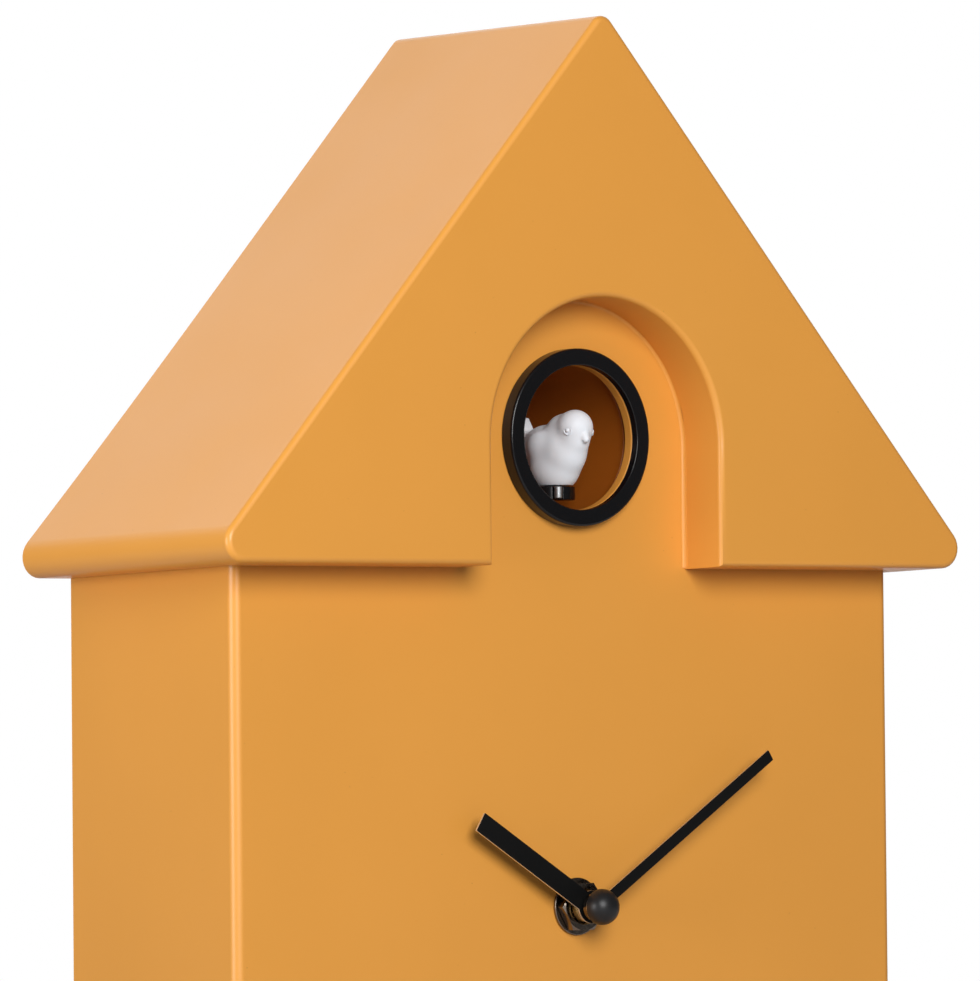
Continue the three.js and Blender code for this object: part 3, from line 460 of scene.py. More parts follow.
# A cell's foil sleeve: dark, with a bright band at the button end.
def cellFinish():
    finish = Finish("cellSleeve", Roughness=0.3, Metallic=0.6)
    along = finish.add("ShaderNodeSeparateXYZ", None, {0: finish.place})
    band = finish.between(along, 13.8 * mm, 14.0 * mm)
    tone = finish.mixed(band, finishColours["sleeve"], finishColours["sleeveBand"])
    worn = finish.between(finish.noise(260, 5, 0.7), 0.55, 0.75)
    finish.colour(finish.mixed(worn * 0.25, tone, finishColours["sleeveWorn"]))
    finish.rough(finish.between(finish.noise(90, 3), 0.3, 0.7, 0.24, 0.38))
    return finish.material


# the case's colour and the paint of each finish, as linear colours
finishColours = {
    "shell": (0.82, 0.355, 0.057),
    # painted shade: the nest tube's orange is kept much darker than the shell's, to darken the inside of the
    # tube where shade falls
    "tube": (0.38, 0.1, 0.008),
    "glossBlack": (0.006, 0.006, 0.007),
    "capBlack": (0.012, 0.012, 0.013),
    "blackPlastic": (0.018, 0.018, 0.019),
    "birdWhite": (0.90, 0.93, 0.99),
    "nylon": (0.70, 0.69, 0.64),
    "handBlack": (0.005, 0.005, 0.005),
    "rubber": (0.03, 0.03, 0.031),
    "paper": (0.045, 0.042, 0.04),
    "nickel": (0.21, 0.175, 0.145),
    "bareEdge": (0.80, 0.76, 0.70),
    "steel": (0.60, 0.60, 0.61),
    "pinSteel": (0.42, 0.43, 0.44),
    "brass": (0.80, 0.58, 0.25),
    "copper": (0.72, 0.28, 0.13),
    "component": (0.05, 0.045, 0.04),
    "mask": (0.012, 0.11, 0.04, 1),
    "maskDark": (0.006, 0.06, 0.022, 1),
    "track": (0.03, 0.17, 0.06, 1),
    "sleeve": (0.02, 0.03, 0.045, 1),
    "sleeveBand": (0.55, 0.36, 0.14, 1),
    "sleeveWorn": (0.2, 0.2, 0.2, 1),
}


def makeFinishes():
    paint = finishColours
    return {
        "shell": moulded(
            "shellPlastic", paint["shell"], 0.42, grainScale=2600, grainDepth=0.012 * mm,
            drift=0.018, dust=0.5, Coat_Weight=0.16, Coat_Roughness=0.2,
        ),
        # the tube's finish takes the darker orange, which paints shade into the inside of the nest tube
        "tube": moulded(
            "tubePlastic", paint["tube"], 0.34, grainScale=1800, grainDepth=0.02 * mm, drift=0.05,
        ),
        "glossBlack": moulded(
            "glossBlackPlastic", paint["glossBlack"], 0.22, grainScale=500, grainDepth=0.004 * mm,
            drift=0.2, Specular_IOR_Level=0.3,
        ),
        "capBlack": moulded(
            "capBlackPlastic", paint["capBlack"], 0.38, grainScale=900, grainDepth=0.01 * mm,
            drift=0.1, dust=0.3, Specular_IOR_Level=0.35,
        ),
        "blackPlastic": moulded(
            "blackPlastic", paint["blackPlastic"], 0.5, grainScale=1400, drift=0.15,
        ),
        "birdWhite": moulded(
            "birdPlastic", paint["birdWhite"], 0.55, grainScale=1700, grainDepth=0.02 * mm, drift=0.02,
            Subsurface_Weight=0.12, Subsurface_Scale=0.8 * mm, Subsurface_Radius=(1.0, 0.9, 0.85),
        ),
        "nylon": moulded(
            "nylon", paint["nylon"], 0.45, grainDepth=0.02 * mm, drift=0.05,
            Subsurface_Weight=0.08, Subsurface_Scale=0.6 * mm,
        ),
        "handBlack": moulded(
            "handPaint", paint["handBlack"], 0.5, grainScale=3000, grainDepth=0.006 * mm,
            drift=0.2, Specular_IOR_Level=0.12,
        ),
        "rubber": moulded(
            "rubber", paint["rubber"], 0.8, grainScale=1100, grainDepth=0.06 * mm, drift=0.15,
        ),
        "paper": moulded(
            "conePaper", paint["paper"], 0.9, grainScale=900, grainDepth=0.12 * mm, drift=0.3,
        ),
        "nickel": metal("nickel", paint["nickel"], 0.17, lines=(1, 0.1, 1), tarnish=0.5),
        "bareEdge": metal("bareEdge", paint["bareEdge"], 0.38, lines=(1, 0.05, 1), tarnish=0.15),
        "steel": metal("steel", paint["steel"], 0.28, lines=(1, 1, 0.08), tarnish=0.2),
        "pinSteel": metal("pinSteel", paint["pinSteel"], 0.5, tarnish=0.2),
        "brass": metal("brass", paint["brass"], 0.26, tarnish=0.25),
        "copper": metal("copper", paint["copper"], 0.3, lineScale=2600, tarnish=0.2),
        "board": boardFinish(),
        "component": moulded("component", paint["component"], 0.4, drift=0.3),
        "cellWrap": cellFinish(),
    }


finishes = makeFinishes()
print("finishes:", len(finishes), "made")

# shapes made by geometry nodes


class Shape(NodeMaker):
    # each of the values becomes a named input of the group
    def __init__(self, name, finish, **values):
        super().__init__(bpy.data.node_groups.new(name, "GeometryNodeTree"))
        self.values = {**values, "finish": finish}
        face = self.tree.interface
        face.new_socket("Geometry", in_out="OUTPUT", socket_type="NodeSocketGeometry")
        face.new_socket("Geometry", in_out="INPUT", socket_type="NodeSocketGeometry")
        kinds = {int: "NodeSocketInt", float: "NodeSocketFloat", bpy.types.Material: "NodeSocketMaterial"}
        self.identifiers = {}
        for key, value in self.values.items():
            made = face.new_socket(key, in_out="INPUT", socket_type=kinds[type(value)])
            self.identifiers[key] = made.identifier
        self.entry = self.tree.nodes.new("NodeGroupInput")

    def value(self, key):
        return Output(self, self.entry.outputs[key])

    def vector(self, x=0.0, y=0.0, z=0.0):
        return self.add("ShaderNodeCombineXYZ", None, {0: x, 1: y, 2: z})

    def moved(self, geometry, **inputs):
        return self.add("GeometryNodeTransform", None, {"Geometry": geometry, **inputs})

    def cylinder(self, radius, depth, sides=48):
        inputs = {"Vertices": sides, "Radius": radius, "Depth": depth}
        return self.add("GeometryNodeMeshCylinder", None, inputs)

    def cube(self, x, y, z):
        return self.add("GeometryNodeMeshCube", None, {"Size": self.vector(x, y, z)})

    def boolean(self, operation, first, *others):
        if operation == "DIFFERENCE":
            inputs = {"Mesh 1": first, "Mesh 2": [*others]}
        else:
            inputs = {"Mesh 2": [first, *others]}
        settings = {"operation": operation, "solver": "EXACT"}
        return self.add("GeometryNodeMeshBoolean", settings, inputs, output="Mesh")

    # the group's last nodes, then the object that it makes, as a plain mesh
    def made(self, name, geometry, mesh=None):
        real = self.add("GeometryNodeRealizeInstances", None, {"Geometry": geometry})
        inputs = {"Geometry": real, "Material": self.value("finish")}
        dressed = self.add("GeometryNodeSetMaterial", None, inputs)
        self.feed(self.tree.nodes.new("NodeGroupOutput").inputs[0], dressed)
        piece = objectFrom(name, mesh or bpy.data.meshes.new(name))
        shape = piece.modifiers.new("shape", "NODES")
        shape.node_group = self.tree
        for key, value in self.values.items():
            shape[self.identifiers[key]] = value
        return settled(piece)



roof = {
    "sharpHalf": 127.7 * mm,  # where the slopes would meet the eaves
    "sharpRise": 143.3 * mm,  # where they would meet each other, above the eaves
    "eaveRound": 5.4 * mm,
    "ridgeRound": 3.65 * mm,
    "frontRound": 1.6 * mm,
    "archHalf": 37.7 * mm,
    "archCentre": eavesZ + 31.3 * mm,
    "archFillet": 1.0 * mm,  # in the corner between the arch's inside and the panel
    "panelGap": 0.05 * mm,
    "ridgeLift": 0.8 * mm,  # the roof opens out towards the back: its ridge rises this much,
    "eaveDrop": 2.1 * mm,  # its eaves drop this much,
    "spread": 0.004,  # and it grows wider by this share,
    "eaveSpread": 0.018,  # by this share more at the eaves, fading up the slopes
    "slopeSteps": 16,
    "wall": 2.5 * mm,
    "bossRadius": 4.2 * mm,
    "bossLength": 16 * mm,
    "bossBore": 1.9 * mm,
}
wall = roof["wall"]
slope = math.atan2(roof["sharpRise"], roof["sharpHalf"])
backInnerY = backY - wall
innerY = panelY + wall


def archOutline(half, foot, steps=72, support=0.5 * mm):
    centre = roof["archCentre"]
    curve = []
    for i in range(steps + 1):
        angle = math.pi - math.pi * i / steps
        curve.append((half * math.cos(angle), centre + half * math.sin(angle)))
    return [(-half, foot), (-half, centre - support), *curve, (half, centre - support), (half, foot)]


def gable(inset, steps=10):
    half = roof["sharpHalf"] - inset / math.tan(slope / 2)
    top = eavesZ + roof["sharpRise"] - inset / math.cos(slope)
    foot = eavesZ + inset
    low = max(roof["eaveRound"] - inset, 0.4 * mm)
    high = max(roof["ridgeRound"] - inset, 0.4 * mm)
    corners = rounded([(half, foot, low), (0, top, high), (-half, foot, low)], steps)
    outline = []
    for here, there in zip(corners, [*corners[1:], corners[0]]):
        start, end = Vector(here), Vector(there)
        pieces = roof["slopeSteps"] if abs(end.y - start.y) > 50 * mm else 1
        outline += [tuple(start.lerp(end, i / pieces)) for i in range(pieces)]
    return outline


# Outlines of equal length, one behind the other, as one closed solid. Each layer is (y, outline).
def loft(name, layers):
    count = len(layers[0][1])
    points = [(a, y, b) for y, outline in layers for a, b in outline]
    faces = [list(range(count)), [(len(layers) - 1) * count + i for i in range(count)]]
    for k in range(len(layers) - 1):
        here, there = k * count, (k + 1) * count
        for i in range(count):
            nextOne = (i + 1) % count
            faces.append([here + i, here + nextOne, there + nextOne, there + i])
    return objectFrom(name, meshFrom(name, points, faces))


# The lip that rounds off the corner between the arch's inside and the panel.
def archLip(rearY):
    radius, half = roof["archFillet"], roof["archHalf"]
    foot = eavesZ - 3 * mm
    lip = prism("lip", archOutline(half + wall / 2, eavesZ), rearY - radius, rearY)
    layers = [(rearY - radius - mm, archOutline(half, foot))]
    for k in range(9):
        angle = math.pi / 2 * k / 8
        inset = radius * (1 - math.cos(angle))
        layers.append((rearY - radius + radius * math.sin(angle), archOutline(half - inset, foot)))
    layers.append((rearY + mm, archOutline(half - radius, foot)))
    return cut(lip, loft("tunnel", layers))


# Moves points outwards, more so towards the back.
def flared(piece):
    for vertex in piece.data.vertices:
        along = (vertex.co.y - frontY) / (backY - frontY)
        up = (vertex.co.z - eavesZ) / roof["sharpRise"]
        vertex.co.x *= 1 + along * (roof["spread"] + roof["eaveSpread"] * (1 - up) ** 3)
        vertex.co.z += along * (roof["ridgeLift"] * up - roof["eaveDrop"] * (1 - up))
    return piece


backScrews = [middleOf(f"back_screw_{i + 1}") for i in range(6)]


def rods(radius, start, end, places, sides=32):
    return [rod("rod", radius, start, end, (p.x, 0, p.z), sides=sides) for p in places]


def bosses(places):
    return rods(roof["bossRadius"], backInnerY - roof["bossLength"], backInnerY - gap, places)


def bossBores(places):
    return rods(roof["bossBore"], backInnerY - roof["bossLength"] - mm, backY, places, 20)


def makeRoof():
    corners = gable(0)
    slab = prism("roofShell", [*corners, *archOutline(roof["archHalf"], eavesZ)], frontY, backY)

    def onFront(edge):
        return all(abs(v.co.y - frontY) < 1e-6 for v in edge.verts)

    roundEdges(slab, roof["frontRound"], onFront, segments=7)
    flared(slab)
    hollow = flared(prism("hollow", gable(wall), frontY + wall, backY + 5 * mm))
    rearY = panelY - roof["panelGap"]
    jamb = prism("jamb", archOutline(roof["archHalf"] + wall, eavesZ - mm), frontY - mm, rearY)
    cut(hollow, jamb)
    pocketHalf = bodyHalf + gap
    pocket = block(
        "pocket", (-pocketHalf, rearY, eavesZ - 2 * roof["eaveDrop"]),
        (pocketHalf, backY + 5 * mm, eavesZ + wall + mm),
    )
    cut(slab, hollow, pocket)
    roofBosses = [p for p in backScrews if p.z > eavesZ]
    fused(slab, archLip(rearY), *bosses(roofBosses))
    cut(slab, *bossBores(roofBosses))
    cleaned(slab, flat=0.05)
    softened(slab, 0.3 * mm, 3, angle=50)
    painted(slab, finishes["shell"])
    return standFor(slab, "shell", "roof_shell")


body = {
    "edgeRound": 2.6 * mm,
    "baseRound": 1.2 * mm,
    "top": eavesZ + 2.2 * mm,
    "tongueHalf": 44 * mm,
    "collarInner": 18.7 * mm,
    "collarOuter": 20.2 * mm,
    "collarProud": panelY - bodyLow.y,
    "collarRound": 0.45 * mm,
    "shaftHole": 4.5 * mm,
    "postRadius": 3.4 * mm,  # the two posts for the slide frame's screws
    "postLength": 3.5 * mm,
    "postBore": 1.5 * mm,
}


def bodyPlan(inset, reach):
    half = bodyHalf - inset
    front = panelY + inset
    turn = max(body["edgeRound"] - inset, 0.5 * mm)
    return rounded([(-half, front, turn), (half, front, turn), (half, reach, 0), (-half, reach, 0)], 8)


def makeBody():
    shell = prism("bodyShell", bodyPlan(0, backY), baseZ, body["top"], "z")
    cleaned(shell, flat=0.05)

    def onBase(edge):
        low = all(abs(v.co.z - baseZ) < 1e-6 for v in edge.verts)
        return low and not all(abs(v.co.y - backY) < 1e-6 for v in edge.verts)

    roundEdges(shell, body["baseRound"], onBase, segments=5)
    cut(shell, prism("hollow", bodyPlan(wall, backY + 5 * mm), baseZ + wall, body["top"] + 5 * mm, "z"))
    tongue = prism("tongue", archOutline(body["tongueHalf"], eavesZ - 10 * mm), panelY, innerY)
    front = panelY - body["collarProud"]
    inner, outer = body["collarInner"], body["collarOuter"]
    lip = body["collarRound"]
    collarProfile = rounded(
        [(inner, panelY + mm, 0), (outer, panelY + mm, 0), (outer, front, lip), (inner, front, lip)],
        4, 0.1 * mm,
    )
    collar = lathe("collar", collarProfile, (0, 0, windowZ), sides=128, closed=True)
    window = rod("window", inner, panelY - mm, innerY + mm, (0, 0, windowZ), sides=128)
    recess = rod("recess", outer, panelY + 0.8 * mm, innerY + mm, (0, 0, windowZ), sides=128)
    shaft = rod("shaft", body["shaftHole"], panelY - mm, innerY + mm, (0, 0, axisZ), sides=48)
    fused(shell, tongue)
    cut(shell, window)
    fused(shell, collar)
    cut(shell, recess, shaft)
    bodyBosses = [p for p in backScrews if p.z < eavesZ]
    fused(shell, *bosses(bodyBosses))
    cut(shell, *bossBores(bodyBosses))
    posts = [middleOf(f"frame_screw_{i + 1}") for i in range(2)]
    fused(shell, *rods(body["postRadius"], innerY - mm, innerY + body["postLength"], posts, 24))
    cut(shell, *rods(body["postBore"], innerY + 0.5 * mm, innerY + 5 * mm, posts, 20))
    cleaned(shell)
    softened(shell, 0.25 * mm, 3, angle=50)
    painted(shell, finishes["shell"])
    return standFor(shell, "shell", "body_shell")


makeRoof()
makeBody()
print("case: roof and body made")

# window and bird

window = {
    "ringInner": 18.7 * mm,
    "ringOuter": 23.0 * mm,
    "innerRound": 0.3 * mm,
    "outerRound": 0.7 * mm,
    "tubeInner": 19.9 * mm,
    "tubeWall": 1.5 * mm,
    "flangeReach": 4.5 * mm,
    "flangeThick": 1.5 * mm,
    "tubeDepth": 46 * mm,
    "floorRound": 3 * mm,  # the tube's rear corner
    "lipRound": 0.3 * mm,
    "slotHalf": 3 * mm,
    "slotFront": 14 * mm,  # behind the panel
    "slotBack": 44 * mm,
}


def makeWindowRing():
    front = ringLow.y
    inner, outer = window["ringInner"], window["ringOuter"]
    seat = body["collarOuter"] + gap
    step = panelY - body["collarProud"] - gap
    corners = [
        (inner, front, window["innerRound"]), (outer, front, window["outerRound"]),
        (outer, panelY - gap, 0), (seat, panelY - gap, 0), (seat, step, 0), (inner, step, 0),
    ]
    profile = rounded(corners, 7, 0.15 * mm)
    ring = lathe("windowRing", profile, (0, 0, windowZ), sides=160, closed=True)
    softened(ring, 0)
    painted(ring, finishes["glossBlack"])
    return standFor(ring, "gloss_black", "window_ring")


def makeNestTube():
    start = innerY + 0.4 * mm
    end = panelY + window["tubeDepth"]
    inner = window["tubeInner"]
    outer = inner + window["tubeWall"]
    flange = inner + window["flangeReach"]
    rear = end + window["tubeWall"]
    behind = start + window["flangeThick"]
    turn, lip = window["floorRound"], window["lipRound"]
    corners = [
        (inner, start, lip), (flange, start, lip), (flange, behind, lip), (outer, behind, 0.5 * mm),
        (outer, rear, turn + window["tubeWall"]), (0, rear, 0), (0, end, 0), (inner, end, turn),
    ]
    tube = lathe("nestTube", rounded(corners, 6, 0.1 * mm), (0, 0, windowZ), sides=128, closed=True)
    half = window["slotHalf"]
    foot = windowZ - inner
    slotFront, slotBack = panelY + window["slotFront"], panelY + window["slotBack"]
    slot = block("slot", (-half, slotFront, foot - 3 * mm), (half, slotBack, foot + 2.5 * mm))
    cut(tube, slot)
    cleaned(tube, flat=0.05)
    softened(tube, 0)
    # the darker tube finish paints shade into the inside of the tube
    painted(tube, finishes["tube"])
    return standFor(tube, "shell", "nest_tube")


makeWindowRing()
makeNestTube()
print("window: ring and nest tube made")

birdBalls = {
    # radii and centre of each ball of the trunk, in mm, from the panel and the window's middle
    "chest": ((5.9, 7.6, 7.8), (0, 3.6, -3.0)),
    "belly": ((6.0, 8.0, 7.2), (0, 6.7, -7.0)),
    "throat": ((4.3, 4.4, 3.8), (0, -1.1, -0.9)),
    "head": ((4.9, 4.9, 4.9), (0, -1.7, 2.6)),
    "nape": ((4.4, 5.8, 4.7), (0, 2.6, 1.9)),
    "back": ((5.4, 8.6, 6.2), (0, 9.6, -2.2)),
    "wingLeft": ((1.7, 4.4, 3.9), (-4.8, 7.8, -1.7)),
    "wingRight": ((1.7, 4.4, 3.9), (4.8, 7.8, -1.7)),
}
birdShape = {
    "trunkVoxel": 0.4 * mm,
    "trunkRounds": 80,  # how often the trunk is smoothed
    "voxel": 0.3 * mm,
    "rounds": 6,
    "tailWidth": 4.8 * mm,
    "tail": ((12, 1), (13, -5), (17.5, -3.6), (21.2, 3.2), (20.6, 6.4), (17.8, 2.4)),  # its side view
    "beakPlace": (0, -4.8, 1.5),
    "beakRadius": 1.6 * mm,
    "beakLength": 3.3 * mm,
    "beakTilt": 60,  # degrees down from level
    "eyePlace": (3.98, -3.5, 1.7),
    "eyeFacing": (1, -0.42, 0.12),
    "eyeRadius": 0.6 * mm,
    "eyeRing": 0.2 * mm,
    "eyeRingReach": 1.75,  # the ring's radius over the eye's
}
footTop = windowZ - 12.4 * mm


def fromWindow(point):
    x, y, z = (p * mm for p in point)
    return Vector((x, panelY + y, windowZ + z))


# A small ring and ball set on the head for an eye.
def makeEye(side):
    radius, wire = birdShape["eyeRadius"], birdShape["eyeRing"]
    x, y, z = birdShape["eyePlace"]
    centre = fromWindow((side * x, y, z))
    x, y, z = birdShape["eyeFacing"]
    turn = Vector((side * x, y, z)).normalized().to_track_quat("Z", "Y").to_matrix().to_4x4()
    form = bmesh.new()
    sides, across = 32, 10
    for i in range(sides):
        angle = 2 * math.pi * i / sides
        for k in range(across):
            roll = 2 * math.pi * k / across
            reach = radius * birdShape["eyeRingReach"] + wire * math.cos(roll)
            spot = Vector((reach * math.cos(angle), reach * math.sin(angle), wire * math.sin(roll)))
            form.verts.new(turn @ spot + centre)
    form.verts.ensure_lookup_table()
    for i in range(sides):
        for k in range(across):
            here, there, up = i * across, (i + 1) % sides * across, (k + 1) % across
            form.faces.new([form.verts[j] for j in (here + k, there + k, there + up, here + up)])
    place = Matrix.Translation(centre) @ turn
    bmesh.ops.create_uvsphere(form, u_segments=20, v_segments=14, radius=radius, matrix=place)
    mesh = bpy.data.meshes.new("eye")
    form.to_mesh(mesh)
    form.free()
    return objectFrom("eye", mesh)


# Melts a form into one skin and smooths it.
def melted(form, size, rounds):
    merge = form.modifiers.new("merge", "REMESH")
    merge.mode = "VOXEL"
    merge.voxel_size = size
    soft = form.modifiers.new("soft", "SMOOTH")
    soft.factor = 0.5
    soft.iterations = rounds
    settled(form)


def makeTail():
    half = birdShape["tailWidth"] / 2
    outline = [(panelY + y * mm, windowZ + z * mm) for y, z in birdShape["tail"]]
    return prism("tail", outline, -half, half, "x")


def makeBeak():
    tilt = math.radians(birdShape["beakTilt"])
    along = Vector((0, -math.cos(tilt), -math.sin(tilt)))
    radius, length = birdShape["beakRadius"], birdShape["beakLength"]
    corners = [(0, -2 * mm, 0), (radius, 0, 0.6 * mm), (0.5 * radius, length, 0.7 * mm), (0, length, 0)]
    beak = lathe("beak", rounded(corners, 5, 0.05 * mm), (0, 0, 0), "z", 32)
    turn = along.to_track_quat("Z", "Y").to_matrix().to_4x4()
    beak.data.transform(Matrix.Translation(fromWindow(birdShape["beakPlace"])) @ turn)
    return beak


def makeBird():
    balls = []
    for part, (radii, centre) in birdBalls.items():
        balls.append(ellipsoid(part, [r * mm for r in radii], fromWindow(centre)))
    trunk = joined("trunk", balls)
    melted(trunk, birdShape["trunkVoxel"], birdShape["trunkRounds"])
    form = joined("bird", [trunk, makeTail(), makeBeak()])
    melted(form, birdShape["voxel"], birdShape["rounds"])
    below = footTop + gap
    cut(form, block("below", (-30 * mm, -100 * mm, below - 50 * mm), (30 * mm, 100 * mm, below)))
    cleaned(form, 0.01 * mm, 0.02)
    form = joined("bird", [form, makeEye(-1), makeEye(1)])
    softened(form, 0, angle=50)
    painted(form, finishes["birdWhite"])
    return standFor(form, "bird_white", "bird")


makeBird()
refined("birdArm", ["bird_arm"], finishes["glossBlack"], "gloss_black", 0.35 * mm, 3)
refined("footPin", ["foot_pin"], finishes["pinSteel"], "steel", 0.2 * mm, 2)
print("bird: body, eyes, arm and pin made")

# hands and nut

hands = {
    "thick": 0.6 * mm,
    "edge": 0.07 * mm,
    "corner": 0.25 * mm,  # at the tip
    "hourLength": 42.5 * mm,
    "hourWidth": 5.3 * mm,
    "hourAngle": -58.1,  # degrees clockwise from twelve
    "hourEye": 4.2 * mm,
    "minuteLength": 69.9 * mm,
    "minuteWidth": 3.1 * mm,
    "minuteAngle": 56.7,
    "minuteEye": 3.9 * mm,
    "tubeRadius": 2.7 * mm,
    "arborRadius": 1.65 * mm,
}


# A punched bar with a round eye. Its faces are lacquered and its cut edges are bare.
def makeHand(name, node, length, width, angle, eye, bore):
    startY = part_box(node)[0].y
    turn = math.radians(angle)
    across = Vector((math.cos(turn), -math.sin(turn)))
    along = Vector((math.sin(turn), math.cos(turn)))
    axis = Vector((0, axisZ))
    half, corner = width / 2, hands["corner"]
    sharp = [(-half, 0, 0), (half, 0, 0), (half, length, corner), (-half, length, corner)]
    outline = [tuple(axis + across * a + along * b) for a, b in rounded(sharp, 4, 0.1 * mm)]
    bar = prism(name, outline, startY, startY + hands["thick"])
    fused(bar, rod("eye", eye, startY, startY + hands["thick"], (0, 0, axisZ), sides=64))
    cut(bar, rod("bore", bore, startY - mm, startY + mm, (0, 0, axisZ), sides=48))
    cleaned(bar)
    painted(bar, finishes["handBlack"], finishes["bareEdge"])
    for polygon in bar.data.polygons:
        polygon.material_index = 0 if abs(polygon.normal.y) > 0.5 else 1
    softened(bar, hands["edge"], 2, 50)
    return standFor(bar, "hand_black", node)


makeHand(
    "hourHand", "hour_hand", hands["hourLength"], hands["hourWidth"], hands["hourAngle"], hands["hourEye"],
    hands["tubeRadius"],
)
makeHand(
    "minuteHand", "minute_hand", hands["minuteLength"], hands["minuteWidth"], hands["minuteAngle"],
    hands["minuteEye"], hands["arborRadius"],
)

capShape = {
    "radius": 4.65 * mm,
    "skirt": 0.95 * mm,
    "skirtRound": 0.3 * mm,
    "bore": 1.7 * mm,
    "boreEnd": 1.7 * mm,  # what is left of the ball in front of the bore
    "steps": 20,
}


def makeCap():
    low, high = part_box("hand_cap")
    radius, bore, turn = capShape["radius"], capShape["bore"], capShape["skirtRound"]
    shoulder = high.y - capShape["skirt"]
    rise = shoulder - low.y
    blind = low.y + capShape["boreEnd"]
    profile = [(bore, blind), (bore, high.y), (radius - turn, high.y), (radius, high.y - turn)]
    for i in range(capShape["steps"] + 1):
        angle = math.pi / 2 * i / capShape["steps"]
        profile.append((radius * math.cos(angle), shoulder - rise * math.sin(angle)))
    profile.append((0, blind))
    cap = lathe("handCap", profile, (0, 0, axisZ), sides=96, closed=True)
    softened(cap, 0)
    painted(cap, finishes["capBlack"])
    return standFor(cap, "gloss_black", "hand_cap")


# A flat ring round the hands' axis, in the space of its CAD node.
def ringPiece(name, node, inner, turn, sides):
    low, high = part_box(node)
    outer = (high.x - low.x) / 2
    corners = [(inner, low.y, turn), (outer, low.y, turn), (outer, high.y, turn), (inner, high.y, turn)]
    ring = lathe(name, rounded(corners, 4, 0.05 * mm), (0, 0, axisZ), sides=sides, closed=True)
    softened(ring, 0)
    return painted(ring, finishes["nickel"])


nut = {
    "across": 12 * mm,
    "chamfer": 1.2 * mm,
    "bore": 4.25 * mm,
    "lead": 0.4 * mm,  # the countersink at each end of the bore
    "washerRound": 0.22 * mm,
    "collarRound": 0.3 * mm,
}


# A hexagon nut, chamfered on its front, with a countersunk bore.
def makeNut():
    front, rear = nutLow.y, nutHigh.y
    reach = nut["across"] / math.sqrt(3)
    turns = [math.pi / 3 * i for i in range(6)]
    corners = [(reach * math.cos(turn), axisZ + reach * math.sin(turn)) for turn in turns]
    hexagon = prism("lockNut", corners, front, rear)
    big = reach * 1.2
    flat = nut["across"] / 2 + 0.1 * mm
    profile = [(flat, front - mm), (big, front - mm), (big, front + nut["chamfer"]), (flat, front - 0.001 * mm)]
    cut(hexagon, lathe("chamfer", profile, (0, 0, axisZ), sides=96, closed=True))
    bore, lead = nut["bore"], nut["lead"]
    wide = bore + lead + mm
    boreProfile = [
        (0, front - mm), (wide, front - mm), (bore, front + lead), (bore, rear - lead), (wide, rear + mm),
        (0, rear + mm),
    ]
    cut(hexagon, lathe("bore", boreProfile, (0, 0, axisZ), sides=96))
    cleaned(hexagon)
    softened(hexagon, 0.12 * mm, 3, 28)
    painted(hexagon, finishes["nickel"])
    return standFor(hexagon, "nickel", "lock_nut")


makeCap()
collar = ringPiece("minuteCollar", "minute_collar", hands["arborRadius"], nut["collarRound"], 72)
standFor(collar, "steel", "minute_collar")
makeNut()
washer = ringPiece("lockWasher", "lock_washer", nut["bore"], nut["washerRound"], 128)
standFor(washer, "nickel", "lock_washer")
print("hands: two bars, cap, collar, nut and washer made")

# back

back = {
    "opening": (-44 * mm, 14 * mm, 42 * mm, 132 * mm),  # left, low, right, high
    "openingRound": 1.6 * mm,
    "hingeCorner": 0.3 * mm,  # nearly square, so that the leaf can turn
    "hingeRadius": 2.2 * mm,
    "hingeInset": 0.6 * mm,
    "lugLong": 8 * mm,
    "lugHigh": 5 * mm,
    "lugDeep": 3.4 * mm,
    "doorThick": 2.3 * mm,
    "doorGap": 0.4 * mm,
    "pinBore": 1.1 * mm,
    "slots": 5,
    "slotStep": 6 * mm,
    "slotHeight": 2.4 * mm,
    "slotReach": 17 * mm,
    "slotLoss": 2.2 * mm,  # the reach lost by the first slot away from the middle
    "slotRound": 0.88,  # of half a slot's height
    "hangerHalf": 9 * mm,
    "hangerBelow": 13 * mm,
    "hangerAbove": 11 * mm,
    "slitHalf": (7 * mm, 2.6 * mm),
    "dialRadius": 8 * mm,
    "screwHole": 1.7 * mm,
    "cupRadius": 3.7 * mm,
    "cupDepth": 1.6 * mm,
    "standoffs": ((-94, 124), (-54, 124), (-94, 66), (-54, 66)),  # of the chime's board, in mm
    "standoffRadius": 2.6 * mm,
    "standoffFoot": 33 * mm,
    "gripWidth": 8 * mm,
    "gripHalf": 16 * mm,
    "gripMargin": 5 * mm,
    "ribs": 11,
    "ribStep": 2.6 * mm,
    "ribRadius": 0.6 * mm,
    "ribLength": 7.2 * mm,
}
hingeX = back["opening"][0] + back["hingeRadius"] + back["hingeInset"]
hingeY = backY - back["hingeRadius"]
speakerZ = middleOf("speaker_cone").z
hangerZ = eavesZ + 98 * mm
switchPlace = middleOf("mode_switch")
knobPlace = middleOf("volume_knob")


# A plate seen from the back: its left, low, right and high edges, drawn out along y.
def plate(name, edges, start, end, radius=0.0, steps=6):
    left, low, right, high = edges
    corners = [(left, low, radius), (right, low, radius), (right, high, radius), (left, high, radius)]
    return prism(name, rounded(corners, steps, 0.1 * mm), start, end)


def edgesAround(x, z, halfWide, halfHigh):
    return (x - halfWide, z - halfHigh, x + halfWide, z + halfHigh)


def speakerSlots(inside, outside):
    slots = []
    middle = back["slots"] // 2
    tall = back["slotHeight"] / 2
    for i in range(back["slots"]):
        reach = back["slotReach"] - back["slotLoss"] * (i - middle) ** 2
        edges = edgesAround(0, speakerZ + back["slotStep"] * (i - middle), reach, tall)
        slots.append(plate("slot", edges, inside, outside, tall * back["slotRound"], 8))
    return slots


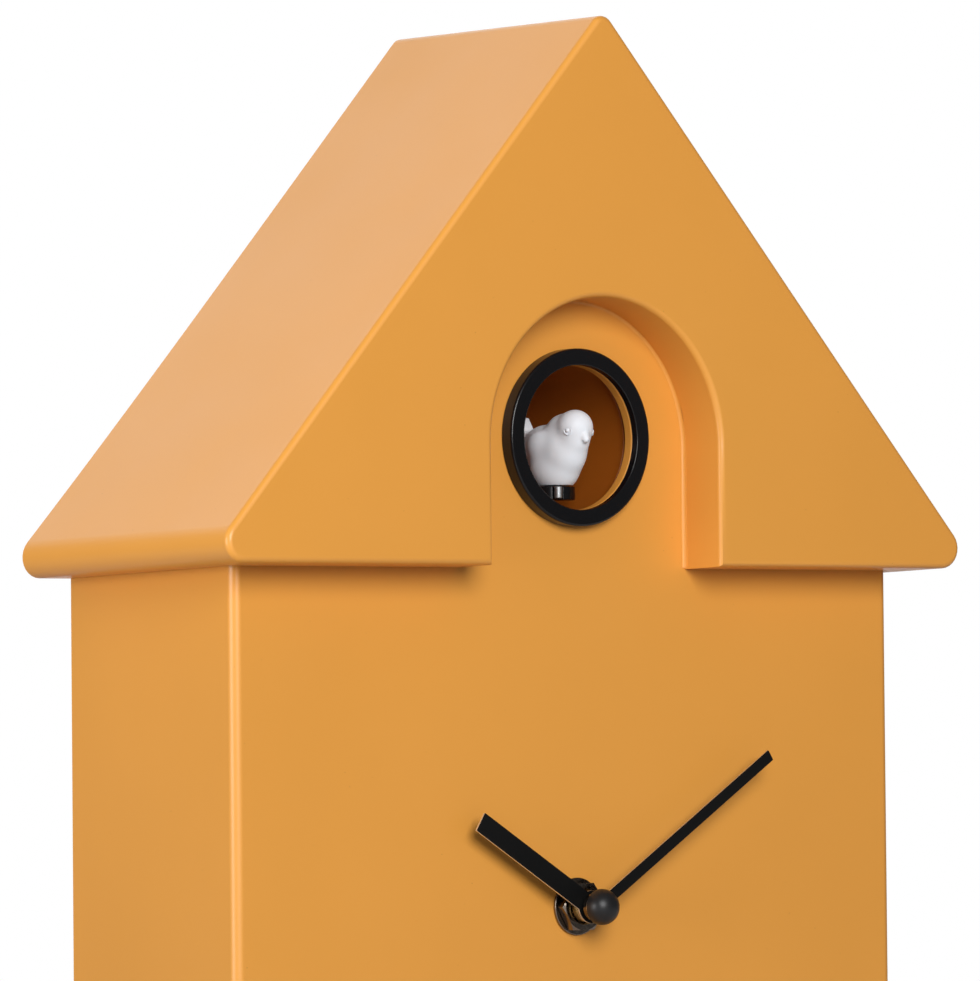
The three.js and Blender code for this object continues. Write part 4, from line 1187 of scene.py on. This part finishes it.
def makeBackPanel():
    half = bodyHalf - wall - gap
    bodySpace = bodyHalf + gap
    panel = flared(prism("backPanel", gable(wall + gap), backInnerY, backY))
    edges = (-bodySpace, 0, bodySpace, body["top"] + gap)
    cut(panel, plate("bodySpace", edges, backInnerY - mm, backY + mm))
    lower = plate("lower", (-half, baseZ + wall + gap, half, eavesZ + 14 * mm), backInnerY, backY)
    left, low, right, high = back["opening"]
    long, tall, front = left + back["lugLong"], back["lugHigh"], hingeY - back["lugDeep"]
    lugs = [
        plate("lug", (left, high, long, high + tall), front, backY),
        plate("lug", (left, low - tall, long, low), front, backY),
    ]
    feet = [Vector((x * mm, 0, z * mm)) for x, z in back["standoffs"]]
    standoffs = rods(back["standoffRadius"], back["standoffFoot"], backInnerY + 0.5 * mm, feet, 24)
    fused(panel, lower, *lugs, *standoffs)
    outside = backY + mm
    inside = backInnerY - mm
    turn, tight = back["openingRound"], back["hingeCorner"]
    corners = [(left, low, tight), (right, low, turn), (right, high, turn), (left, high, tight)]
    tools = [prism("opening", rounded(corners, 6, 0.1 * mm), inside - 9 * mm, outside)]
    tools.append(rod("bore", back["pinBore"], low - 4 * mm, high + 4 * mm, (hingeX, hingeY, 0), "z", 24))
    tools += rods(back["cupRadius"], backY - back["cupDepth"], outside, backScrews, 48)
    tools += rods(back["screwHole"], inside, backY, backScrews, 24)
    tools += speakerSlots(inside, outside)
    half = back["hangerHalf"]
    edges = (-half, hangerZ - back["hangerBelow"], half, hangerZ + back["hangerAbove"])
    tools.append(plate("hanger", edges, inside, outside, 2 * mm))
    edges = edgesAround(switchPlace.x, switchPlace.z, *back["slitHalf"])
    tools.append(plate("slit", edges, inside, outside, mm))
    tools.append(rod("dial", back["dialRadius"], inside, outside, (knobPlace.x, 0, knobPlace.z), sides=64))
    cut(panel, *tools)
    cleaned(panel)
    softened(panel, 0.22 * mm, 2, 50)
    painted(panel, finishes["shell"])
    return standFor(panel, "shell", "back_panel")


# A row of half-round ribs for the thumb.
def ribs(x, startZ):
    shape = Shape(
        "thumbRibs", finishes["shell"], count=back["ribs"], step=back["ribStep"],
        radius=back["ribRadius"], length=back["ribLength"],
    )
    rib = shape.cylinder(shape.value("radius"), shape.value("length"), 20)
    laid = shape.moved(rib, Rotation=(0, math.pi / 2, 0))
    inputs = {"Count": shape.value("count"), "Offset": shape.vector(0.0, 0.0, shape.value("step"))}
    line = shape.add("GeometryNodeMeshLine", {"mode": "OFFSET"}, inputs)
    row = shape.add("GeometryNodeInstanceOnPoints", None, {"Points": line, "Instance": laid})
    piece = shape.made("ribs", row)
    piece.data.transform(Matrix.Translation((x, backY - mm, startZ)))
    return piece


def makeDoor():
    low, right, high = back["opening"][1:]
    clear = back["doorGap"]
    foot, head = low + clear, high - clear
    turn = back["openingRound"] - clear
    corners = [(hingeX, foot, 0), (right - clear, foot, turn), (right - clear, head, turn), (hingeX, head, 0)]
    leaf = prism("serviceDoor", rounded(corners, 6, 0.1 * mm), backY - back["doorThick"], backY)
    fused(leaf, rod("barrel", back["hingeRadius"], foot, head, (hingeX, hingeY, 0), "z", 40))
    bore = rod("bore", back["pinBore"], foot - mm, head + mm, (hingeX, hingeY, 0), "z", 24)
    gripX = right - back["gripMargin"] - back["gripWidth"] / 2
    edges = edgesAround(gripX, axisZ, back["gripWidth"] / 2, back["gripHalf"])
    cut(leaf, bore, plate("grip", edges, backY - mm, backY + mm, mm))
    fused(leaf, ribs(gripX, axisZ - back["ribStep"] * (back["ribs"] - 1) / 2))
    cleaned(leaf)
    softened(leaf, 0.16 * mm, 2, 50)
    painted(leaf, finishes["shell"])
    return standFor(leaf, "shell", "service_door")


makeBackPanel()
makeDoor()
print("back: panel and door made")

screws = {
    "headRadius": 3.15 * mm,
    "headHeight": 1.3 * mm,
    "domeRadius": 6.0 * mm,
    "shankRadius": 1.25 * mm,
    "crossWidth": 0.85 * mm,
    "crossLength": 3.4 * mm,
    "crossDepth": 0.9 * mm,
}


# Pan-head screws with a cross recess; the seed turns each one differently.
def makeScrews(name, heads, length, seed, *nodes):
    shape = Shape("panHead", finishes["steel"], seed=seed, length=length, **screws)
    value = shape.value
    disc = shape.moved(
        shape.cylinder(value("headRadius"), value("headHeight"), 56),
        Translation=shape.vector(z=value("headHeight") * -0.5),
    )
    inputs = {"Segments": 72, "Rings": 60, "Radius": value("domeRadius")}
    ball = shape.add("GeometryNodeMeshUVSphere", None, inputs)
    dome = shape.moved(ball, Translation=shape.vector(z=value("domeRadius") * -1.0))
    head = shape.boolean("INTERSECT", disc, dome)
    shank = shape.moved(
        shape.cylinder(value("shankRadius"), value("length") - 1.0 * mm, 24),
        Translation=shape.vector(z=value("length") * -0.5 - 0.5 * mm),
    )
    arms = [
        shape.cube(value("crossLength"), value("crossWidth"), value("crossDepth") * 2.0),
        shape.cube(value("crossWidth"), value("crossLength"), value("crossDepth") * 2.0),
    ]
    one = shape.boolean("DIFFERENCE", shape.boolean("UNION", head, shank), *arms)
    # the head faces the back
    facing = shape.moved(one, Rotation=(-math.pi / 2, 0, 0))
    turn = shape.add(
        "FunctionNodeRandomValue", {"data_type": "FLOAT"},
        {2: 0.0, 3: math.pi, "Seed": value("seed")}, output=1,
    )
    inputs = {"Points": shape.value("Geometry"), "Instance": facing, "Rotation": shape.vector(y=turn)}
    placed = shape.add("GeometryNodeInstanceOnPoints", None, inputs)
    points = bpy.data.meshes.new("screwPlaces")
    points.from_pydata([tuple(p) for p in heads], [], [])
    piece = shape.made(name, placed, points)
    cleaned(piece, 0.002 * mm, 0.3)
    softened(piece, 0.12 * mm, 2, 40)
    return standFor(piece, "steel", *nodes)


def headsOf(names):
    return [Vector((middleOf(n).x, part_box(n)[1].y, middleOf(n).z)) for n in names]


backNames = [f"back_screw_{i + 1}" for i in range(6)]
frameNames = [f"frame_screw_{i + 1}" for i in range(2)]
makeScrews("backScrews", headsOf(backNames), 14 * mm, 4, *backNames)
makeScrews("frameScrews", headsOf(frameNames), 7 * mm, 9, *frameNames)
refined("hangerPlate", ["hanger_plate"], finishes["steel"], "steel", 0.2 * mm, 2)
refined("doorPin", ["door_pin"], finishes["steel"], "steel", 0.25 * mm, 2)
refined("basePads", ["base_pad_left", "base_pad_right"], finishes["rubber"], "rubber", 0.35 * mm, 3)
print("back: screws, hanger plate, door pin and pads made")

# movement

grips = {
    "settingRadius": 5.38 * mm,
    "settingRidges": 24,
    "settingDepth": 4.4 * mm,
    "volumeRadius": 6.78 * mm,
    "volumeRidges": 28,
    "volumeDepth": 4.2 * mm,
    "groove": 0.5 * mm,
    "ridgeSides": 12,  # steps round each ridge
    "stemRadius": 2.2 * mm,
}


# A round grip at the rear end of a knob's node; its rim waves in and out.
def grip(name, node, finish, radius, ridges, depth):
    centre, endY = middleOf(node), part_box(node)[1].y
    shape = Shape("ridgedGrip", finish, radius=radius, ridges=ridges, groove=grips["groove"], depth=depth)
    value = shape.value
    sides = value("ridges") * (1.0 * grips["ridgeSides"])
    barrel = shape.add(
        "GeometryNodeMeshCylinder", None,
        {"Vertices": sides, "Side Segments": 3, "Radius": value("radius"), "Depth": value("depth")},
    )
    spot = shape.add("GeometryNodeInputPosition")
    x, y = (shape.add("ShaderNodeSeparateXYZ", None, {0: spot}, output=i) for i in range(2))
    angle = x.maths("ARCTAN2", y, x)
    wave = x.maths("COSINE", angle * value("ridges")) * 0.5 + 0.5
    pull = (wave ** 3.0) * value("groove") / value("radius")
    offset = shape.vector(x * pull * -1.0, y * pull * -1.0, 0.0)
    ridged = shape.add("GeometryNodeSetPosition", None, {"Geometry": barrel, "Offset": offset})
    piece = shape.made(name, ridged)
    turn = Matrix.Rotation(-math.pi / 2, 4, "X")
    piece.data.transform(Matrix.Translation((centre.x, endY - depth / 2, centre.z)) @ turn)
    return piece


def knobFinished(knob):
    cleaned(knob, 0.002 * mm, 0.2)
    return softened(knob, 0.18 * mm, 2, 50)


def makeSettingKnob():
    node = "setting_knob"
    low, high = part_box(node)
    knob = knobFinished(grip(
        "settingKnob", node, finishes["birdWhite"], grips["settingRadius"], grips["settingRidges"],
        grips["settingDepth"],
    ))
    rest = copied(node + "Copy", node)
    start = high.y - grips["settingDepth"] + 0.1 * mm
    cut(rest, block("grip", (low.x - mm, start, low.z - mm), (high.x + mm, high.y + mm, high.z + mm)))
    cleaned(rest)
    softened(rest, 0.08 * mm, 1)
    painted(rest, finishes["birdWhite"])
    piece = fused(rest, knob)
    piece.name = "settingKnob"
    painted(piece, finishes["birdWhite"])
    return standFor(piece, "bird_white", node)


def makeVolumeKnob():
    node = "volume_knob"
    low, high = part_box(node)
    radius = grips["volumeRadius"]
    knob = grip(
        "volumeKnob", node, finishes["blackPlastic"], radius, grips["volumeRidges"], grips["volumeDepth"],
    )
    x, z = knobPlace.x, knobPlace.z
    edges = (x - 0.5 * mm, z + 1.5 * mm, x + 0.5 * mm, z + radius)
    cut(knob, plate("mark", edges, high.y - 0.6 * mm, high.y + mm, 0.4 * mm))
    knobFinished(knob)
    fused(knob, rod("stem", grips["stemRadius"], low.y, high.y - 4 * mm, (x, 0, z), sides=32))
    painted(knob, finishes["blackPlastic"])
    return standFor(knob, "black_plastic", node)


# Wire wound along z as a mesh; foot and tip are the radii of the first turn and the last.
def wound(name, treeName, finish, steps, sides, **sizes):
    shape = Shape(treeName, finish, **sizes)
    value = shape.value
    path = shape.add(
        "GeometryNodeCurveSpiral", None,
        {"Resolution": steps, "Rotations": value("turns"), "Start Radius": value("foot"),
         "End Radius": value("tip"), "Height": value("height")},
    )
    inputs = {"Resolution": sides, "Radius": value("wire")}
    ring = shape.add("GeometryNodeCurvePrimitiveCircle", None, inputs)
    inputs = {"Curve": path, "Profile Curve": ring, "Fill Caps": True}
    piece = shape.made(name, shape.add("GeometryNodeCurveToMesh", None, inputs))
    for polygon in piece.data.polygons:
        polygon.use_smooth = True
    return piece


coil = {
    "wire": 0.13 * mm,
    "turns": 88.0,
    "foot": 3.0 * mm,
    "tip": 3.0 * mm,
    "height": 25 * mm,
}
spring = {
    "wire": 0.24 * mm,
    "turns": 2.75,
    "foot": 3.5 * mm,
    "tip": 1.7 * mm,
}


def makeCoil():
    low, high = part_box("drive_coil")
    centre = middleOf("drive_coil")
    wire = wound("windings", "coilWindings", finishes["copper"], 22, 8, **coil)
    turn = Matrix.Rotation(math.pi / 2, 4, "Y")
    wire.data.transform(Matrix.Translation((low.x + 1.5 * mm, centre.y, centre.z)) @ turn)
    spool = copied("drive_coilCopy", "drive_coil")
    middle = (0, centre.y, centre.z)
    space = rod("space", 4 * mm, low.x + mm, high.x - mm, middle, "x", 48)
    cut(space, rod("core", 2.9 * mm, low.x, high.x, middle, "x", 48))
    cut(spool, space)
    cleaned(spool)
    softened(spool, 0.12 * mm, 2)
    painted(spool, finishes["nylon"])
    painted(wire, finishes["copper"])
    return standFor(mergedWith(spool, wire, "driveCoil"), "copper", "drive_coil")


# Joins two pieces and keeps the finish of each.
def mergedWith(first, second, name):
    count = len(first.data.materials)
    for polygon in second.data.polygons:
        polygon.material_index += count
    materials = [*first.data.materials, *second.data.materials]
    piece = joined(name, [first, second])
    painted(piece, *materials)
    return piece


cellShape = {
    "shoulder": 0.9 * mm,
    "buttonRadius": 2.7 * mm,
    "minusRadius": 4.6 * mm,
}


# A dry cell along x: a sleeve, a shoulder and a button at one end, a flat cap at the other.
def makeCell(name, node):
    low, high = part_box(node)
    centre = middleOf(node)
    radius = (high.z - low.z) / 2
    button, turn = cellShape["buttonRadius"], cellShape["shoulder"]
    top = high.x - 1.4 * mm
    profile = rounded(
        [
            (0, low.x + 0.15 * mm, 0), (cellShape["minusRadius"], low.x + 0.15 * mm, 0.3 * mm),
            (cellShape["minusRadius"], low.x + 0.5 * mm, 0), (radius - 1.3 * mm, low.x + 0.5 * mm, 0),
            (radius - 1.3 * mm, low.x, 0.2 * mm), (radius, low.x, turn), (radius, top, turn),
            (radius - 1.4 * mm, top, 0.2 * mm), (radius - 1.4 * mm, top - 0.4 * mm, 0.1 * mm),
            (button, top - 0.4 * mm, 0.2 * mm), (button, high.x, 0.5 * mm), (0, high.x, 0),
        ],
        5, 0.02 * mm,
    )
    piece = lathe(name, profile, (0, centre.y, centre.z), "x", 96)
    painted(piece, finishes["cellWrap"], finishes["nickel"])
    for polygon in piece.data.polygons:
        middle = polygon.center - Vector((0, centre.y, centre.z))
        reach = math.hypot(middle.y, middle.z)
        polygon.material_index = 1 if reach < radius - 1.35 * mm else 0
    softened(piece, 0)
    return standFor(piece, "cell_wrap", node)


# The strip that touches the cell's flat end, with a coned spring.
def makeSpringContact():
    node = "cell_contact_minus"
    low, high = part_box(node)
    centre = middleOf(node)
    strip = copied(node + "Copy", node)
    start, end = (low.x + 0.5 * mm, low.y - mm, low.z - mm), (high.x + mm, high.y + mm, high.z + mm)
    cut(strip, block("bump", start, end))
    cleaned(strip)
    softened(strip, 0.12 * mm, 2)
    painted(strip, finishes["nickel"])
    height = high.x - low.x - 0.9 * mm
    coned = wound("spring", "conedSpring", finishes["nickel"], 40, 14, height=height, **spring)
    turn = Matrix.Rotation(math.pi / 2, 4, "Y")
    coned.data.transform(Matrix.Translation((low.x + 0.62 * mm, centre.y, centre.z)) @ turn)
    return standFor(mergedWith(strip, coned, "contactMinus"), "steel", node)


parts = {
    "count": 26,
    "spread": 2.4 * mm,
    "long": 1.7 * mm,
    "thin": 0.8 * mm,
    "standing": 0.3,  # how far a part's middle stands off the board, over its thickness
    "seed": 12,
}


# Small components scattered over one face of a board, each turned a quarter or not at all.
def components(edges, faceY):
    left, low, right, high = edges
    corners = [(left, faceY, low), (right, faceY, low), (right, faceY, high), (left, faceY, high)]
    sheet = meshFrom("sheet", corners, [[0, 1, 2, 3]])
    shape = Shape(
        "boardParts", finishes["component"], spread=parts["spread"],
        density=parts["count"] / ((right - left) * (high - low)),
        long=parts["long"], thin=parts["thin"], seed=parts["seed"],
    )
    value = shape.value
    points = shape.add(
        "GeometryNodeDistributePointsOnFaces", {"distribute_method": "POISSON"},
        {"Mesh": value("Geometry"), "Distance Min": value("spread"), "Density Max": value("density"),
         "Seed": value("seed")},
    )
    chip = shape.cube(value("long"), value("thin"), value("thin"))
    inputs = {4: 0, 5: 1, "Seed": value("seed")}
    pick = shape.add("FunctionNodeRandomValue", {"data_type": "INT"}, inputs, output=2)
    inputs = {"Points": points, "Instance": chip, "Rotation": shape.vector(y=pick * (math.pi / 2))}
    placed = shape.add("GeometryNodeInstanceOnPoints", None, inputs)
    piece = shape.made("parts", placed, sheet)
    piece.data.transform(Matrix.Translation((0, parts["thin"] * parts["standing"], 0)))
    return softened(piece, 0.08 * mm, 1)


def makeBoard(name, node, edges, faceY):
    board = copied(node + "Copy", node)
    cleaned(board)
    softened(board, 0.1 * mm, 1)
    painted(board, finishes["board"])
    chips = components(edges, faceY)
    painted(chips, finishes["component"])
    return standFor(mergedWith(board, chips, name), "board", node)


makeSettingKnob()
makeCoil()
makeCell("movementCell", "movement_cell")
makeSpringContact()
refined("contactPlus", ["cell_contact_plus"], finishes["nickel"], "steel", 0.12 * mm, 2)
boardLow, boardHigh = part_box("movement_board")
makeBoard(
    "movementBoard", "movement_board",
    (boardLow.x + 13 * mm, boardLow.z + 7 * mm, boardHigh.x - 2 * mm, boardHigh.z - mm),
    boardLow.y + 0.9 * mm,
)
refined("movementCase", ["movement_case"], finishes["blackPlastic"], "black_plastic", 0.25 * mm, 2)
refined("movementCover", ["movement_cover"], finishes["blackPlastic"], "black_plastic", 0.25 * mm, 2)
refined("trainPlate", ["train_plate"], finishes["nylon"], "nylon", 0.15 * mm, 2)
refined("shaftBush", ["shaft_bush"], finishes["brass"], "brass", 0.15 * mm, 2, 28)
refined("statorCore", ["stator"], finishes["steel"], "steel", 0.12 * mm, 2)
for wheel in ("hour_wheel", "centre_wheel", "minute_wheel", "third_wheel", "seconds_wheel"):
    refined(wheel + "Fine", [wheel], finishes["nylon"], "nylon", 0.06 * mm, 1, 40)
print("movement: case, train, coil, cell and boards made")

# bird's slide and chime

refined("slideCarriage", ["slide_carriage"], finishes["nylon"], "nylon", 0.15 * mm, 2, 40)
refined("slideFrame", ["slide_frame"], finishes["blackPlastic"], "black_plastic", 0.25 * mm, 2, 40)
refined("guideRails", ["guide_rail_left", "guide_rail_right"], finishes["nickel"], "steel", 0.2 * mm, 2, 40)
refined("reductionGear", ["reduction_gear"], finishes["nylon"], "nylon", 0.08 * mm, 1, 40)
refined("gearAxle", ["gear_axle"], finishes["steel"], "steel", 0.2 * mm, 2, 40)
refined("driveMotor", ["drive_motor"], finishes["steel"], "steel", 0.3 * mm, 3, 30)
refined("motorShaft", ["motor_shaft"], finishes["brass"], "brass", 0.06 * mm, 1, 40)

speaker = {
    "ribs": 5,
    "ribDepth": 0.12 * mm,
    "capRise": 1.6 * mm,
    "capEdge": 5.4 * mm,
    "footRise": 1.15 * mm,
    "surround": 1.3 * mm,  # half the width of the rolled edge
    "surroundRise": 0.9 * mm,
    "paper": 0.4 * mm,
}


# A paper cone with pressed rings, a dust cap and a rolled surround.
def makeSpeakerCone():
    low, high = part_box("speaker_cone")
    radius = (high.x - low.x) / 2
    foot, rim = low.y, high.y
    rise, edge, roll = speaker["capRise"], speaker["capEdge"], speaker["surround"]
    start, end = foot + speaker["footRise"], rim - speaker["footRise"]
    front = [(0, foot + rise), (2 * mm, foot + rise * 0.94), (4 * mm, foot + rise * 0.62), (edge, start)]
    rings = speaker["ribs"] * 8
    for i in range(rings + 1):
        share = i / rings
        dip = speaker["ribDepth"] * math.sin(2 * math.pi * speaker["ribs"] * share)
        front.append((edge + (radius - 2 * roll - edge) * share, start + (end - start) * share + dip))
    for i in range(1, 9):
        angle = math.pi * i / 8
        reach = radius - roll * (1 + math.cos(angle))
        front.append((reach, end + speaker["surroundRise"] * math.sin(angle)))
    behind = [(reach, height - speaker["paper"]) for reach, height in reversed(front)]
    cone = lathe("speakerCone", [*front, *behind], (0, 0, middleOf("speaker_cone").z), sides=128)
    softened(cone, 0)
    painted(cone, finishes["paper"])
    return standFor(cone, "cone_paper", "speaker_cone")


makeSpeakerCone()
refined("speakerFrame", ["speaker_frame"], finishes["steel"], "steel", 0.2 * mm, 2, 30)
refined("batteryTray", ["battery_tray"], finishes["blackPlastic"], "black_plastic", 0.3 * mm, 2, 40)
refined("modeSwitch", ["mode_switch"], finishes["blackPlastic"], "black_plastic", 0.15 * mm, 2, 40)
makeCell("chimeCellLow", "chime_cell_1")
makeCell("chimeCellHigh", "chime_cell_2")
chimeLow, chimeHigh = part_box("chime_board")
makeBoard(
    "chimeBoard", "chime_board",
    (chimeLow.x + 4 * mm, chimeLow.z + 26 * mm, chimeHigh.x - 12 * mm, chimeLow.z + 38 * mm),
    32.6 * mm,
)
makeVolumeKnob()
print("chime: speaker, tray, cells, board and controls made")

# stage: floor, light and camera

stage = {
    "floorRadius": 900 * mm,
    "floorColour": (0.86, 0.86, 0.87),
    "floorBounce": 0.3,  # share of the floor's colour that lights the clock from below
    "skyLow": 0.1,
    "skyHigh": 1.75,
    "skyAim": (0.32, 0.784, 0.34),  # where the backdrop is brightest
    "skyEdge": (0.66, 0.95),  # how far from there it fades, as cosines
    "lampAim": (0, 0, 200 * mm),
    # azimuth from the front towards the left, elevation, distance, size and power of each lamp
    "frontLamp": (23, 15.5, 1.75, 0.9, 25.0),
    "sideLamp": (86, -1, 2.1, 1.1, 24.0),
}


def makeFloor():
    disc = rod("floor", stage["floorRadius"], -2 * mm, 0, (0, 0, 0), "z", 96)
    paint = Finish("floorPaper", Roughness=0.85)
    colour = stage["floorColour"]
    sheet = paint.mixed(paint.noise(25, 4), tint(colour, 0.99), tint(colour, 1.01))
    bounce = paint.add("ShaderNodeLightPath", output="Is Diffuse Ray")
    paint.colour(paint.mixed(bounce, sheet, tint(colour, stage["floorBounce"])))
    painted(disc, paint.material)


def makeLight(name):
    azimuth, elevation, distance, size, power = stage[name]
    aim = Vector(stage["lampAim"])
    turn, rise = math.radians(azimuth), math.radians(elevation)
    flat = distance * math.cos(rise)
    place = Vector((-flat * math.sin(turn), -flat * math.cos(turn), distance * math.sin(rise))) + aim
    lamp = bpy.data.lights.new(name, "AREA")
    lamp.shape = "DISK"
    lamp.size = size
    lamp.energy = power
    holder = bpy.data.objects.new(name, lamp)
    bpy.context.scene.collection.objects.link(holder)
    holder.location = place
    holder.rotation_euler = (aim - place).to_track_quat("-Z", "Y").to_euler()


def makeSky():
    world = bpy.data.worlds.new("studio")
    world.use_nodes = True
    maker = NodeMaker(world.node_tree)
    sky = world.node_tree.nodes["Background"]
    sky.inputs["Color"].default_value = (1, 1, 1, 1)
    facing = maker.add("ShaderNodeTexCoord", output="Generated")
    aim = Vector(stage["skyAim"]).normalized()
    towards = maker.add(
        "ShaderNodeVectorMath", {"operation": "DOT_PRODUCT"}, {0: facing, 1: aim}, output="Value",
    )
    near, far = stage["skyEdge"]
    strength = maker.add(
        "ShaderNodeMapRange", {"interpolation_type": "SMOOTHSTEP"},
        {"Value": towards, "From Min": near, "From Max": far, "To Min": stage["skyLow"],
         "To Max": stage["skyHigh"]},
    )
    maker.feed(sky.inputs["Strength"], strength)
    bright = maker.add("ShaderNodeBackground", None, {"Color": (1, 1, 1, 1), "Strength": 1.0})
    seen = maker.add("ShaderNodeLightPath", output="Is Camera Ray")
    lit = Output(maker, sky.outputs[0])
    both = maker.add("ShaderNodeMixShader", None, {0: seen, 1: lit, 2: bright})
    maker.feed(world.node_tree.nodes["World Output"].inputs["Surface"], both)
    bpy.context.scene.world = world


camera = {
    "place": (-1129.24 * mm, -1421.56 * mm, 138.67 * mm),
    "azimuth": 38.337,  # degrees from +Y towards +X
    "elevation": 1.834,
    "roll": -0.519,
    "lens": 255.1,
}


def makeCamera():
    turn, rise, roll = (math.radians(camera[k]) for k in ("azimuth", "elevation", "roll"))
    ahead = Vector((math.sin(turn) * math.cos(rise), math.cos(turn) * math.cos(rise), math.sin(rise)))
    level = Vector((math.cos(turn), -math.sin(turn), 0))
    upright = level.cross(ahead)
    right = level * math.cos(roll) + upright * math.sin(roll)
    up = upright * math.cos(roll) - level * math.sin(roll)
    lens = bpy.data.cameras.new("camera")
    lens.lens = camera["lens"]
    holder = bpy.data.objects.new("camera", lens)
    bpy.context.scene.collection.objects.link(holder)
    axes = Matrix((right, up, -ahead)).transposed().to_4x4()
    holder.matrix_world = Matrix.Translation(camera["place"]) @ axes
    bpy.context.scene.camera = holder


makeFloor()
makeSky()
makeLight("frontLamp")
makeLight("sideLamp")
makeCamera()
bpy.context.scene.view_settings.view_transform = "Standard"
print("stage: floor, sky, lights and camera set")
